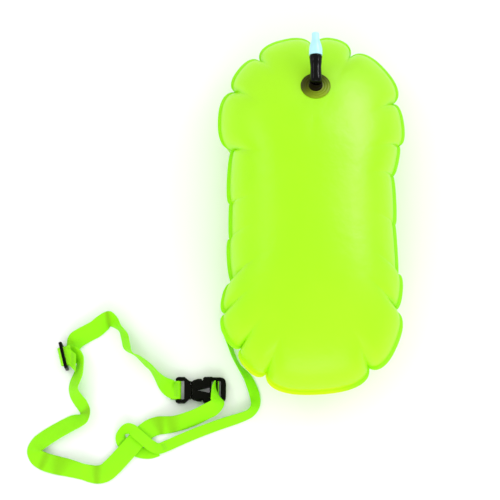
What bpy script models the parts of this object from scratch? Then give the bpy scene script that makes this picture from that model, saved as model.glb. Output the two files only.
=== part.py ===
"""Open water swim buoy: an inflated bladder with an oral valve, a tether and a waist belt.

Metres, +Z up. The buoy lies on its back on a floor at z = 0, with the valve end towards +Y and the
front panel facing up. The origin is the middle of the flat place on which the bladder rests.
"""

import math

import bmesh
import bpy
from mathutils import Matrix, Vector
from mathutils.bvhtree import BVHTree

# Gap that touching pieces keep, gap under the welded discs, overrun of a cut, distance at which
# points are welded, and height of the floor
SEAT_GAP = 0.0003
DISC_GAP = 0.0007
CUT_OVERRUN = 0.002
WELD_DISTANCE = 0.000005
FLOOR_HEIGHT = 0.0

# Bladder: two panels welded along a flat rim
BLADDER_HALF_WIDTH = 0.125
BLADDER_HALF_LENGTH = 0.252
RIM_HEIGHT = 0.075
CROWN_RISE = 0.078
PANEL_THICKNESS = 0.0005
WELD_WIDTH = 0.004
PUCKER_REACH = 0.045
SPINE_SHARE = 0.4
CROWN_DROP_SHARE = 0.12
CROWN_DROP_POWER = 4
CREASE_DEPTH_SHARE = 0.09
CROWN_RING_SHARES = (0.24, 0.5, 0.72, 0.88, 0.97, 1.0)
CROWN_POWER = 0.55
LOBE_POWER = 2.4
PUCKER_FADE_POWER = 6

# Puckers of the rim, clockwise from the valve end: place across and along as shares of the half
# width and half length, bulge of the lobe that follows as a share of the half width, steps along it
RIM_PUCKERS_SHARES = (
    (0.029, 0.970, 0.170, 5),
    (0.448, 0.917, 0.202, 6),
    (0.914, 0.638, 0.090, 4),
    (0.966, 0.398, 0.034, 3),
    (0.890, 0.223, 0.026, 4),
    (0.904, -0.053, 0.010, 3),
    (0.924, -0.326, 0.068, 4),
    (0.875, -0.525, 0.178, 6),
    (0.592, -0.842, 0.110, 5),
    (-0.032, -0.974, 0.090, 4),
    (-0.514, -0.875, 0.112, 4),
    (-0.773, -0.733, 0.110, 4),
    (-0.947, -0.546, 0.078, 4),
    (-0.868, -0.377, 0.044, 4),
    (-0.904, -0.132, 0.012, 3),
    (-0.903, 0.065, 0.046, 4),
    (-0.869, 0.374, 0.178, 6),
    (-0.846, 0.709, 0.132, 5),
    (-0.571, 0.893, 0.182, 5),
)

# Oral valve: its place as shares of the half width and half length, and its parts, measured along
# the axis of the stem from the middle of the ball
VALVE_PLACE_SHARES = (0.032, 0.651)
VALVE_SLOPE_REACH = 0.018
PATCH_RADIUS = 0.021
PATCH_THICKNESS = 0.001
PATCH_DEPTH = 0.006
SPIGOT_RADIUS = 0.0062
SPIGOT_DEPTH = 0.006
HUB_RADIUS = 0.0093
HUB_LEAN = math.radians(10.0)
HUB_LENGTH = 0.0095
BALL_ABOVE_HUB = 0.0045
AIRWAY_RADIUS = 0.0025
STEM_RADIUS = 0.008
STEM_WAIST_RADIUS = 0.0076
STEM_MOUTH_RADIUS = 0.0089
STEM_LENGTH = 0.0317
STEM_WAIST_SHARE = 0.4
STEM_FLARE_SHARE = 0.75
STEM_RISE = math.radians(2.0)
CORE_RADIUS = 0.005
CORE_DEPTH = 0.0117
CORE_FLANGE = 0.0015
NECK_RADIUS = 0.004
NECK_LENGTH = 0.016
PLUG_RADIUS = 0.002
PLUG_LENGTH = 0.002
CORE_AIRWAY_RADIUS = 0.0015
PORT_RADIUS = 0.0012
SEAL_WIRE_RADIUS = 0.0007
SEAL_PLACE = 0.0065
MOUTHPIECE_LENGTH = 0.0318
COLLAR_RADIUS = 0.00925
COLLAR_LENGTH = 0.004
SHOULDER_RADIUS = 0.0083
SHOULDER_PLACE = 0.0125
TAPER_RADIUS = 0.0064
TAPER_PLACE = 0.019
TIP_RADIUS = 0.005
TIP_PLACE = 0.0245
TIP_ROUND = 0.001
TIP_BORE_RADIUS = 0.0018

# Webbing
BELT_WIDTH = 0.025
TETHER_WIDTH = 0.015
WEBBING_THICKNESS = 0.0015
WEBBING_STEP = 0.008
STITCH_THICKNESS = 0.0006
STITCH_LENGTH = 0.005
STITCH_MARGIN = 0.0025
PRONG_STITCH_STATION = 10
JUNCTION_X = -0.2030
JUNCTION_Y = -0.3065
JUNCTION_Z = 0.0032

# Anchor on the back panel: its place as shares of the half width and half length, and its sizes
ANCHOR_PLACE_SHARES = (-0.56, -0.381)
ANCHOR_HEADING = math.radians(-140.0)
ANCHOR_RADIUS = 0.021
ANCHOR_THICKNESS = 0.001
ANCHOR_RISE = 0.0029
ANCHOR_TOP_SPAN = 0.0088
ANCHOR_SIDE_SPAN = 0.0112
ANCHOR_FOOT_SPAN = 0.0182
SEWN_END_LENGTH = 0.022
PRONG_SEWN_LENGTH = 0.011

# Side release buckle, its back on the floor; u runs from the prong half to the socket half (+X)
BUCKLE_X = -0.152
BUCKLE_Y = -0.2287
BUCKLE_LIFT = 0.0003
BUCKLE_THICKNESS = 0.011
BUCKLE_WIDTH = 0.036
BUCKLE_EDGE_ROUND = 0.0012
SOCKET_FRONT = 0.003
SOCKET_BACK = 0.0345
SOCKET_PLATE_FRONT = -0.0115
SOCKET_PLATE_WIDTH = 0.026
SOCKET_WALL = 0.003
SOCKET_CAVITY_BACK = 0.0125
SOCKET_SLOT_FRONT = 0.0145
SOCKET_SLOT_BACK = 0.0275
SOCKET_SLOT_WIDTH = 0.027
CAVITY_HEIGHT = 0.0066
LIP_LENGTH = 0.003
LIP_REACH = 0.0115
WINDOW_TIP = -0.0084
WINDOW_BACK = 0.0115
WINDOW_WIDTH = 0.0085
SEWN_BAR_RADIUS = 0.0016
SEWN_BAR_HEIGHT = 0.0042
SEWN_BAR_U = 0.0215
PRONG_FRONT = -0.0345
PRONG_BACK = -0.012
PRONG_BASE_FRONT = -0.0225
PRONG_RAIL_BACK = -0.019
PRONG_BASE_WIDTH = 0.026
PRONG_RAIL_WIDTH = 0.0045
PRONG_THICKNESS = 0.009
WEB_BAR_RADIUS = 0.002
WEB_BAR_U = -0.0305
ARM_HEIGHT = 0.006
ARM_PIVOT_V = 0.0088
ARM_ROOT_RADIUS = 0.0022
ARM_INNER = 0.0072
ARM_SHANK = 0.0106
ARM_PAD_FRONT = -0.0094
ARM_PAD_BACK = 0.0014
ARM_PAD_V = 0.0155
ARM_HOOK_FRONT = 0.0065
ARM_HOOK_BACK = 0.0108
ARM_HOOK_V = 0.0141

# Belt slider, standing on its long edge across the webbing
SLIDER_X = -0.3400
SLIDER_Y = -0.1828
SLIDER_TURN = math.radians(14.5)
SLIDER_LENGTH = 0.0376
SLIDER_HEIGHT = 0.024
SLIDER_THICKNESS = 0.0046
SLIDER_LIFT = 0.0003
SLIDER_EDGE_ROUND = 0.0008
SLIDER_BAR = 0.003
SLIDER_SLOT_WIDTH = 0.028
TAIL_LENGTH = 0.018
TAIL_DRIFT = 0.0155
TAIL_SHARES = (0.2, 0.4, 0.7, 1.0)
SEWN_TAIL_SHARES = (0.65, 0.28)
EXIT_SHARES = ((0.47, 1.0), (0.75, 0.75))

# Colours and finishes read from the photograph
PVC_COLOUR = (0.46, 1.0, 0.01)
PVC_BACK_COLOUR = (0.40, 0.92, 0.01)
WEBBING_COLOUR = (0.28, 1.0, 0.003)
STITCH_COLOUR = (0.38, 0.75, 0.02)
OLIVE_COLOUR = (0.10, 0.13, 0.005)
HUB_COLOUR = (0.02, 0.016, 0.006)
RUBBER_COLOUR = (0.008, 0.006, 0.006)
MOUTHPIECE_COLOUR = (0.52, 0.88, 0.97)
SEAL_COLOUR = (0.02, 0.02, 0.02)
PLASTIC_COLOUR = (0.012, 0.011, 0.008)

# Route of the belt from the prong half to the slider: x, y, height of the middle, tilt in degrees
# that raises the left edge (seen along the route)
FRONT_ROUTE = (
    (-0.1948, -0.2258, 0.0100, -24),
    (-0.2045, -0.2190, 0.0116, -54),
    (-0.2117, -0.2102, 0.0128, -71),
    (-0.2201, -0.1990, 0.0134, -80),
    (-0.2270, -0.1930, 0.0134, -81),
    (-0.2368, -0.1846, 0.0134, -88),
    (-0.2447, -0.1796, 0.0133, -96),
    (-0.2536, -0.1684, 0.0124, -68),
    (-0.2571, -0.1557, 0.0122, -66),
    (-0.2637, -0.1435, 0.0131, -79),
    (-0.2715, -0.1345, 0.0118, -62),
    (-0.2788, -0.1296, 0.0092, -42),
    (-0.2878, -0.1350, 0.0078, -33),
    (-0.2978, -0.1434, 0.0071, -29),
    (-0.3095, -0.1500, 0.0073, -30),
)
# Where it turns into the slider's lower slot: x, y, height, heading of the width and its tilt
SLIDER_TWIST = (
    (-0.3225, -0.1580, 0.0074, 305, -24),
    (-0.3312, -0.1678, 0.0058, 292, -8),
)

# Where the belt leaves the slider and stands up: x, y, height, heading of the width and its tilt
SLIDER_EXIT = (
    (-0.3214, -0.1822, 0.0108, 88, 30),
    (-0.3178, -0.1890, 0.0121, 42, 54),
)
# Route of the belt from there to the socket half, as above
MAIN_ROUTE = (
    (-0.3179, -0.1990, 0.0122, 60),
    (-0.3199, -0.2079, 0.0116, 54),
    (-0.3234, -0.2169, 0.0112, 52),
    (-0.3257, -0.2259, 0.0116, 56),
    (-0.3242, -0.2342, 0.0116, 57),
    (-0.3190, -0.2424, 0.0112, 53),
    (-0.3127, -0.2506, 0.0108, 52),
    (-0.3087, -0.2593, 0.0112, 54),
    (-0.3112, -0.2676, 0.0102, 46),
    (-0.3205, -0.2718, 0.0078, 32),
    (-0.3287, -0.2750, 0.0066, 27),
    (-0.3475, -0.2854, 0.0062, 24),
    (-0.3615, -0.2943, 0.0060, 22),
    (-0.3713, -0.3023, 0.0066, 24),
    (-0.3762, -0.3115, 0.0076, 30),
    (-0.3726, -0.3203, 0.0074, 28),
    (-0.3632, -0.3260, 0.0056, 18),
    (-0.3500, -0.3300, 0.0039, 8),
    (-0.3304, -0.3347, 0.0062, 24),
    (-0.3111, -0.3401, 0.0093, 37),
    (-0.2991, -0.3430, 0.0074, 27),
    (-0.2898, -0.3438, 0.0056, 18),
    (-0.2811, -0.3416, 0.0050, 12),
    (-0.2738, -0.3362, 0.0052, 8),
    (-0.2632, -0.3254, 0.0056, 3),
    (-0.2500, -0.3105, 0.0056, 0),
    (-0.2394, -0.2983, 0.0056, 0),
    (-0.2300, -0.2887, 0.0054, 0),
    (-0.2206, -0.2814, 0.0054, 12),
    (-0.2098, -0.2774, 0.0054, 14),
    (-0.1988, -0.2767, 0.0072, 27),
    (-0.1865, -0.2754, 0.0094, 38),
    (-0.1716, -0.2711, 0.0099, 40),
    (-0.1567, -0.2654, 0.0108, 42),
    (-0.1444, -0.2596, 0.0138, 42),
    (-0.1335, -0.2545, 0.0182, 42),
)
# Last stretch over the socket half's rail, where the belt twists into the slot:
# x, y, height, heading of the width and its tilt in degrees
SOCKET_TWIST = (
    (-0.1292, -0.2480, 0.0210, 158, 42),
    (-0.1285, -0.2400, 0.0212, 146, 36),
    (-0.1297, -0.2335, 0.0182, 118, 20),
    (-0.1318, -0.2289, 0.0128, 92, 3),
)

# Route of the tether from the anchor to the belt, round it and back below it
TETHER_ROUTE = (
    (-0.1075, -0.1225, 0.0060, -14),
    (-0.1172, -0.1325, 0.0070, -34),
    (-0.1202, -0.1425, 0.0078, -52),
    (-0.1172, -0.1530, 0.0082, -62),
    (-0.1126, -0.1659, 0.0084, -66),
    (-0.1066, -0.1827, 0.0084, -68),
    (-0.0998, -0.1955, 0.0084, -66),
    (-0.0893, -0.2091, 0.0068, -42),
    (-0.0826, -0.2227, 0.0054, -26),
    (-0.0779, -0.2378, 0.0048, -20),
    (-0.0776, -0.2500, 0.0064, -38),
    (-0.0833, -0.2596, 0.0072, -48),
    (-0.0935, -0.2650, 0.0068, -44),
    (-0.1092, -0.2702, 0.0056, -32),
    (-0.1241, -0.2750, 0.0050, -28),
    (-0.1520, -0.2852, 0.0046, -24),
    (-0.1797, -0.2967, 0.0042, -18),
    (-0.1987, -0.3050, 0.0032, -2),
    (-0.2095, -0.3082, 0.0032, 0),
    (-0.2196, -0.3040, 0.0076, 0),
    (-0.2290, -0.2966, 0.0088, 0),
    (-0.2375, -0.2893, 0.0088, 0),
    (-0.2440, -0.2838, 0.0090, -2),
    (-0.2510, -0.2818, 0.0092, -24),
    (-0.2580, -0.2860, 0.0078, -52),
    (-0.2602, -0.2945, 0.0040, -20),
    (-0.2560, -0.3030, 0.0014, -2),
    (-0.2450, -0.3090, 0.0012, 0),
    (-0.2350, -0.3130, 0.0012, 0),
    (-0.2260, -0.3145, 0.0012, 0),
    (-0.2180, -0.3140, 0.0012, 0),
    (-0.2095, -0.3110, 0.0012, 0),
)


def clear_scene():
    """Remove every object of the scene."""
    for thing in list(bpy.data.objects):
        bpy.data.objects.remove(thing)


def finish_material(name, colour, roughness, metallic=0.0):
    """Plain Principled material."""
    material = bpy.data.materials.new(name)
    material.use_nodes = True
    shader = material.node_tree.nodes["Principled BSDF"]
    shader.inputs["Base Color"].default_value = (*colour, 1.0)
    shader.inputs["Roughness"].default_value = roughness
    shader.inputs["Metallic"].default_value = metallic
    return material


def add_piece(name, shape, material, sharp=math.radians(35.0)):
    """Turn a bmesh into a named object with smooth round faces."""
    bmesh.ops.recalc_face_normals(shape, faces=shape.faces)
    mesh = bpy.data.meshes.new(name)
    shape.to_mesh(mesh)
    shape.free()
    mesh.shade_smooth()
    mesh.set_sharp_from_angle(angle=sharp)
    piece = bpy.data.objects.new(name, mesh)
    if material is not None:
        mesh.materials.append(material)
    bpy.context.scene.collection.objects.link(piece)
    return piece


def combine(piece, others, operation="DIFFERENCE"):
    """Join or cut a piece with helper shapes, and keep the result as its mesh."""
    for other in others:
        cut = piece.modifiers.new("cut", "BOOLEAN")
        cut.operation = operation
        cut.solver = "EXACT"
        cut.object = other
        bpy.context.view_layer.update()
        graph = bpy.context.evaluated_depsgraph_get()
        mesh = bpy.data.meshes.new_from_object(piece.evaluated_get(graph))
        piece.modifiers.remove(cut)
        old = piece.data
        piece.data = mesh
        bpy.data.meshes.remove(old)
        bpy.data.objects.remove(other)
    tidy = bmesh.new()
    tidy.from_mesh(piece.data)
    bmesh.ops.remove_doubles(tidy, verts=tidy.verts, dist=WELD_DISTANCE)
    bmesh.ops.dissolve_degenerate(tidy, dist=WELD_DISTANCE, edges=tidy.edges)
    tidy.to_mesh(piece.data)
    tidy.free()
    return piece


def set_origin(piece, place):
    """Move a piece's origin to a world point without moving its shape."""
    piece.data.transform(Matrix.Translation(-place))
    piece.location = place


def box_shape(low, high, frame=None, edge_round=0.0):
    """Box between two corners, in a frame, with its edges rounded if asked."""
    shape = bmesh.new()
    bmesh.ops.create_cube(shape, size=1.0)
    middle = [(a + b) / 2 for a, b in zip(low, high)]
    size = [b - a for a, b in zip(low, high)]
    bmesh.ops.scale(shape, vec=size, verts=shape.verts)
    bmesh.ops.translate(shape, vec=middle, verts=shape.verts)
    if edge_round:
        bmesh.ops.bevel(
            shape, geom=list(shape.edges), offset=edge_round, segments=1, affect="EDGES"
        )
    if frame is not None:
        bmesh.ops.transform(shape, matrix=frame, verts=shape.verts)
    return shape


def prism_shape(outline, low, high, frame=None):
    """Upright prism on a counterclockwise outline of (u, v) points."""
    shape = bmesh.new()
    bottom = [shape.verts.new((u, v, low)) for u, v in outline]
    top = [shape.verts.new((u, v, high)) for u, v in outline]
    shape.faces.new(bottom[::-1])
    shape.faces.new(top)
    count = len(outline)
    for i in range(count):
        j = (i + 1) % count
        shape.faces.new((bottom[i], bottom[j], top[j], top[i]))
    if frame is not None:
        bmesh.ops.transform(shape, matrix=frame, verts=shape.verts)
    return shape


def turned_shape(profile, frame, segments=24, closed=False):
    """Turn (radius, height) points about the frame's Z axis; a closed profile makes a ring."""
    shape = bmesh.new()
    rings = []
    for radius, height in profile:
        if radius == 0:
            rings.append([shape.verts.new((0, 0, height))])
            continue
        ring = []
        for k in range(segments):
            angle = 2 * math.pi * k / segments
            ring.append(shape.verts.new((radius * math.cos(angle), radius * math.sin(angle), height)))
        rings.append(ring)
    pairs = list(zip(rings, rings[1:]))
    if closed:
        pairs.append((rings[-1], rings[0]))
    for first, second in pairs:
        for k in range(segments):
            m = (k + 1) % segments
            if len(first) == 1:
                shape.faces.new((first[0], second[k], second[m]))
            elif len(second) == 1:
                shape.faces.new((first[k], first[m], second[0]))
            else:
                shape.faces.new((first[k], first[m], second[m], second[k]))
    bmesh.ops.transform(shape, matrix=frame, verts=shape.verts)
    return shape


def frame_at(place, z_axis, x_axis=Vector((1, 0, 0))):
    """Frame at a place, with its Z axis along z_axis and its X axis near x_axis."""
    z = z_axis.normalized()
    x = (x_axis - z * x_axis.dot(z)).normalized()
    y = z.cross(x)
    turn = Matrix((x, y, z)).transposed().to_4x4()
    return Matrix.Translation(place) @ turn


def rod_shape(radius, low, high, frame, segments=20):
    """Round rod along the frame's Z axis."""
    profile = ((0, low), (radius, low), (radius, high), (0, high))
    return turned_shape(profile, frame, segments)


def rim_outline():
    """Points of the rim with how close each is to a pucker, clockwise from the valve end."""
    points = []
    count = len(RIM_PUCKERS_SHARES)
    for k, (across, along, bulge, steps) in enumerate(RIM_PUCKERS_SHARES):
        following = RIM_PUCKERS_SHARES[(k + 1) % count]
        start = Vector((across * BLADDER_HALF_WIDTH, along * BLADDER_HALF_LENGTH))
        end = Vector((following[0] * BLADDER_HALF_WIDTH, following[1] * BLADDER_HALF_LENGTH))
        chord = end - start
        outward = Vector((-chord.y, chord.x)).normalized()
        for i in range(steps):
            share = (1 - math.cos(math.pi * i / steps)) / 2
            swell = (1 - abs(2 * share - 1) ** LOBE_POWER) ** (1 / LOBE_POWER)
            place = start + chord * share + outward * (bulge * BLADDER_HALF_WIDTH * swell)
            points.append((place, 1.0 if i == 0 else 0.0))
    return points


def smooth_outline(points):
    """The rim with its puckers ironed out, by a weighted mean along it."""
    places = [place for place, _ in points]
    count = len(places)
    lengths = [(places[(i + 1) % count] - places[i]).length for i in range(count)]
    smooth = []
    for i in range(count):
        total = places[i] * lengths[i]
        weight = lengths[i]
        for step in (1, -1):
            run = 0.0
            j = i
            while run < 2 * PUCKER_REACH:
                run += lengths[j] if step == 1 else lengths[j - 1]
                j = (j + step) % count
                share = math.exp(-((run / PUCKER_REACH) ** 2)) * lengths[j]
                total = total + places[j] * share
                weight += share
        smooth.append(total / weight)
    return smooth


def dome_rings(rise, inset):
    """Rings of the bladder's dome above the rim plane, from the crown out to the weld."""
    points = rim_outline()
    smooth = smooth_outline(points)
    spine_end = SPINE_SHARE * BLADDER_HALF_LENGTH
    rings = []
    for share in CROWN_RING_SHARES:
        ring = []
        for (place, pucker), even in zip(points, smooth):
            centre = Vector((0, SPINE_SHARE * even.y))
            edge = place - (place - centre).normalized() * (WELD_WIDTH + inset)
            flat = centre + (even - centre) * share
            flat += (edge - even) * share**PUCKER_FADE_POWER
            crown = rise * (1 - CROWN_DROP_SHARE * (centre.y / spine_end) ** CROWN_DROP_POWER)
            dip = 1 - CREASE_DEPTH_SHARE * pucker * share**3
            ring.append((flat.x, flat.y, crown * (1 - share**2) ** CROWN_POWER * dip))
        rings.append(ring)
    return rings


def zip_crown(shape, ring):
    """Close the crown with a strip of triangles between its two sides."""
    count = len(ring)
    low = min(range(count), key=lambda k: ring[k].co.y)
    right = ring[: low + 1]
    left = [ring[0]] + ring[:low - 1:-1]
    i = j = 0
    while i < len(right) - 1 or j < len(left) - 1:
        step_right = j == len(left) - 1 or (
            i < len(right) - 1 and right[i + 1].co.y > left[j + 1].co.y
        )
        if step_right:
            corners = {right[i], right[i + 1], left[j]}
            i += 1
        else:
            corners = {right[i], left[j], left[j + 1]}
            j += 1
        if len(corners) == 3:
            shape.faces.new(sorted(corners, key=lambda v: v.index))


def bridge_rings(shape, rings):
    """Join neighbouring rings of vertices with quads."""
    count = len(rings[0])
    for first, second in zip(rings, rings[1:]):
        for k in range(count):
            m = (k + 1) % count
            shape.faces.new((first[k], first[m], second[m], second[k]))


def panel_shape(side):
    """One welded panel: a thin dome above (+1) or below (-1) the rim plane, with its weld flange."""
    shape = bmesh.new()
    lift = SEAT_GAP / 2

    def ring_of(places, base, limit):
        height = [max(RIM_HEIGHT + side * (base + z), limit) for _, _, z in places]
        return [shape.verts.new((x, y, h)) for (x, y, _), h in zip(places, height)]

    outer = dome_rings(CROWN_RISE, 0.0)
    inner = dome_rings(CROWN_RISE - PANEL_THICKNESS, PANEL_THICKNESS)
    edge = [(place.x, place.y, 0.0) for place, _ in rim_outline()]
    skin = FLOOR_HEIGHT + PANEL_THICKNESS
    rings = [ring_of(places, lift + PANEL_THICKNESS, FLOOR_HEIGHT) for places in outer]
    rings.append(ring_of(edge, lift + PANEL_THICKNESS, FLOOR_HEIGHT))
    rings.append(ring_of(edge, lift, FLOOR_HEIGHT))
    rings += [ring_of(places, lift, skin) for places in reversed(inner)]
    shape.verts.index_update()
    bridge_rings(shape, rings)
    zip_crown(shape, rings[0])
    zip_crown(shape, rings[-1])
    return shape


def bladder_block(side, growth):
    """Solid block under one dome, grown by a gap, to fit a piece to that panel's outside."""
    shape = bmesh.new()
    rings = []
    for places in dome_rings(CROWN_RISE + growth, -growth):
        ring = []
        for x, y, z in places:
            height = RIM_HEIGHT + side * (SEAT_GAP / 2 + PANEL_THICKNESS + z)
            ring.append(shape.verts.new((x, y, max(height, FLOOR_HEIGHT - growth))))
        rings.append(ring)
    rings.append([shape.verts.new((v.co.x, v.co.y, RIM_HEIGHT)) for v in rings[-1]])
    shape.verts.index_update()
    bridge_rings(shape, rings)
    zip_crown(shape, rings[0])
    zip_crown(shape, rings[-1])
    return shape


def surface_frame(panel, shares, side):
    """Frame on a panel's outside: Z is its outward normal, X lies along the world's X or near it."""
    x = shares[0] * BLADDER_HALF_WIDTH
    y = shares[1] * BLADDER_HALF_LENGTH
    shape = bmesh.new()
    shape.from_mesh(panel.data)
    tree = BVHTree.FromBMesh(shape)
    shape.free()
    reach = RIM_HEIGHT + CROWN_RISE + BLADDER_HALF_WIDTH

    def height(px, py):
        place, _, _, _ = tree.ray_cast(Vector((px, py, side * reach)), Vector((0, 0, -side)))
        return place.z

    step = VALVE_SLOPE_REACH
    across = Vector((2 * step, 0, height(x + step, y) - height(x - step, y)))
    along = Vector((0, 2 * step, height(x, y + step) - height(x, y - step)))
    outward = across.cross(along) * side
    return frame_at(Vector((x, y, height(x, y))), outward, across)


def build_panels(pvc, pvc_back):
    """Front and back panel of the bladder, welded rim to rim."""
    front = add_piece("front_panel", panel_shape(1), pvc)
    back = add_piece("back_panel", panel_shape(-1), pvc_back)
    return front, back


def build_disc(name, side, frame, radius, thickness, material):
    """Thin round disc that follows a panel, a small gap above it."""
    disc = add_piece(name, rod_shape(radius, -PATCH_DEPTH, PATCH_DEPTH, frame, 32), material)
    combine(disc, [helper(bladder_block(side, DISC_GAP + thickness))], "INTERSECT")
    return combine(disc, [helper(bladder_block(side, DISC_GAP))])


def ball_place(valve):
    """Middle of the stem's ball, on the hub's leaning axis."""
    return valve @ (hub_axis() * (HUB_LENGTH + BALL_ABOVE_HUB))


def hub_axis():
    """Direction of the leaning hub in the valve's frame."""
    return Vector((0, math.sin(HUB_LEAN), math.cos(HUB_LEAN)))


def build_patch_and_hub(front, valve, olive, hub_black):
    """Welded valve patch on the front panel and the hub that passes through both."""
    hole = SPIGOT_RADIUS + SEAT_GAP
    combine(front, [helper(rod_shape(hole, -2 * SPIGOT_DEPTH, 2 * SPIGOT_DEPTH, valve))])
    patch = build_disc("valve_patch", 1, valve, PATCH_RADIUS, PATCH_THICKNESS, olive)
    combine(patch, [helper(rod_shape(hole, -2 * PATCH_DEPTH, 2 * PATCH_DEPTH, valve))])
    lean = valve @ frame_at(Vector(), hub_axis())
    hub = add_piece("valve_hub", rod_shape(HUB_RADIUS, -HUB_RADIUS, HUB_LENGTH, lean, 24), hub_black)
    below = 3 * HUB_RADIUS
    seat = DISC_GAP + PATCH_THICKNESS + 2 * SEAT_GAP
    combine(hub, [helper(box_shape((-below, -below, -below), (below, below, seat), valve))])
    spigot = rod_shape(SPIGOT_RADIUS, -SPIGOT_DEPTH, seat + CUT_OVERRUN, valve, 20)
    combine(hub, [helper(spigot)], "UNION")
    ball = helper(ball_shape(STEM_RADIUS + SEAT_GAP, ball_place(valve)))
    airway = rod_shape(AIRWAY_RADIUS, -SPIGOT_DEPTH - CUT_OVERRUN, HUB_LENGTH, valve, 12)
    bed = rod_shape(STEM_RADIUS + SEAT_GAP, 0.0, 2 * STEM_RADIUS, stem_frame(valve), 24)
    combine(hub, [ball, helper(bed), helper(airway)])


def helper(shape):
    """Helper shape for a cut or a union; it is removed once it is used."""
    return add_piece("helper", shape, None)


def ball_shape(radius, place):
    """Round ball at a place."""
    shape = bmesh.new()
    bmesh.ops.create_uvsphere(
        shape, u_segments=24, v_segments=16, radius=radius, matrix=Matrix.Translation(place)
    )
    return shape


def stem_frame(valve):
    """Frame of the stem: its Z axis runs from the ball to the mouthpiece."""
    along = Vector((0, math.cos(STEM_RISE), math.sin(STEM_RISE)))
    return frame_at(ball_place(valve), along)


def build_stem(valve, rubber):
    """Soft rubber stem with a round lower end that sits in the hub's dish."""
    frame = stem_frame(valve)
    profile = []
    for step in range(7):
        angle = math.pi / 2 * step / 6
        profile.append((STEM_RADIUS * math.sin(angle), -STEM_RADIUS * math.cos(angle)))
    seat_radius = CORE_RADIUS + SEAT_GAP
    seat_depth = STEM_LENGTH - CORE_DEPTH - SEAT_GAP
    profile += [
        (STEM_WAIST_RADIUS, STEM_LENGTH * STEM_WAIST_SHARE),
        (STEM_RADIUS, STEM_LENGTH * STEM_FLARE_SHARE),
        (STEM_MOUTH_RADIUS, STEM_LENGTH),
        (seat_radius, STEM_LENGTH),
        (seat_radius, seat_depth),
        (AIRWAY_RADIUS, seat_depth),
        (AIRWAY_RADIUS, 0.0),
        (0, 0.0),
    ]
    stem = add_piece("valve_stem", turned_shape(profile, frame), rubber)
    down = frame_at(ball_place(valve), valve.to_3x3() @ -hub_axis())
    bend = AIRWAY_RADIUS - SEAT_GAP
    combine(stem, [helper(rod_shape(bend, -2 * SEAT_GAP, 2 * STEM_RADIUS, down, 12))])
    set_origin(stem, ball_place(valve))


def build_core(valve, plastic, seal_rubber):
    """Valve core that plugs into the stem, and the ring seal round its neck."""
    frame = stem_frame(valve)
    low = STEM_LENGTH - CORE_DEPTH
    flange = STEM_LENGTH + SEAT_GAP
    neck = flange + CORE_FLANGE
    top = neck + NECK_LENGTH
    profile = (
        (0, top - PLUG_LENGTH),
        (CORE_AIRWAY_RADIUS, top - PLUG_LENGTH),
        (CORE_AIRWAY_RADIUS, low),
        (CORE_RADIUS, low),
        (CORE_RADIUS, flange),
        (STEM_RADIUS, flange),
        (STEM_RADIUS, neck),
        (NECK_RADIUS, neck),
        (NECK_RADIUS, top),
        (PLUG_RADIUS, top),
        (PLUG_RADIUS, top + PLUG_LENGTH),
        (0, top + PLUG_LENGTH),
    )
    core = add_piece("valve_core", turned_shape(profile, frame), plastic)
    across = frame @ frame_at(Vector((0, 0, top - 2 * PLUG_LENGTH)), Vector((1, 0, 0)), Vector((0, 1, 0)))
    reach = 2 * NECK_RADIUS
    combine(core, [helper(rod_shape(PORT_RADIUS, -reach, reach, across, 10))])
    wire = []
    middle = NECK_RADIUS + SEAT_GAP + SEAL_WIRE_RADIUS
    for step in range(8):
        angle = 2 * math.pi * step / 8
        wire.append(
            (middle + SEAL_WIRE_RADIUS * math.cos(angle), seal_height() + SEAL_WIRE_RADIUS * math.sin(angle))
        )
    seal = add_piece("core_seal", turned_shape(wire, frame, closed=True), seal_rubber)
    set_origin(seal, frame @ Vector((0, 0, seal_height())))


def seal_height():
    """Place of the ring seal along the stem's axis."""
    return STEM_LENGTH + SEAT_GAP + CORE_FLANGE + SEAL_PLACE


def build_mouthpiece(valve, mouth_plastic):
    """Twist mouthpiece: a tapered cap over the core's neck, open at its tip."""
    frame = stem_frame(valve)
    low = STEM_LENGTH + SEAT_GAP + CORE_FLANGE + SEAT_GAP
    high = low + MOUTHPIECE_LENGTH
    bore = NECK_RADIUS + 2 * SEAT_GAP
    groove = NECK_RADIUS + 2 * SEAT_GAP + 2 * SEAL_WIRE_RADIUS
    seal_low = seal_height() - SEAL_WIRE_RADIUS - SEAT_GAP
    seal_high = seal_height() + SEAL_WIRE_RADIUS + SEAT_GAP
    neck_top = STEM_LENGTH + SEAT_GAP + CORE_FLANGE + NECK_LENGTH
    seat = PLUG_RADIUS + SEAT_GAP
    profile = (
        (COLLAR_RADIUS, low),
        (COLLAR_RADIUS, low + COLLAR_LENGTH),
        (SHOULDER_RADIUS, low + SHOULDER_PLACE),
        (TAPER_RADIUS, low + TAPER_PLACE),
        (TIP_RADIUS, low + TIP_PLACE),
        (TIP_RADIUS, high - TIP_ROUND),
        (TIP_RADIUS - TIP_ROUND, high),
        (TIP_BORE_RADIUS, high),
        (TIP_BORE_RADIUS, neck_top + PLUG_LENGTH + SEAT_GAP),
        (seat, neck_top + PLUG_LENGTH + SEAT_GAP),
        (seat, neck_top + SEAT_GAP),
        (bore, neck_top + SEAT_GAP),
        (bore, seal_high),
        (groove, seal_high),
        (groove, seal_low),
        (bore, seal_low),
        (bore, low),
    )
    piece = add_piece("mouthpiece", turned_shape(profile, frame, closed=True), mouth_plastic)
    set_origin(piece, frame @ Vector((0, 0, low)))


def width_vector(heading, tilt):
    """Unit vector across a webbing from its heading in plan and its tilt."""
    return Vector(
        (math.cos(heading) * math.cos(tilt), math.sin(heading) * math.cos(tilt), math.sin(tilt))
    )


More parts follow.
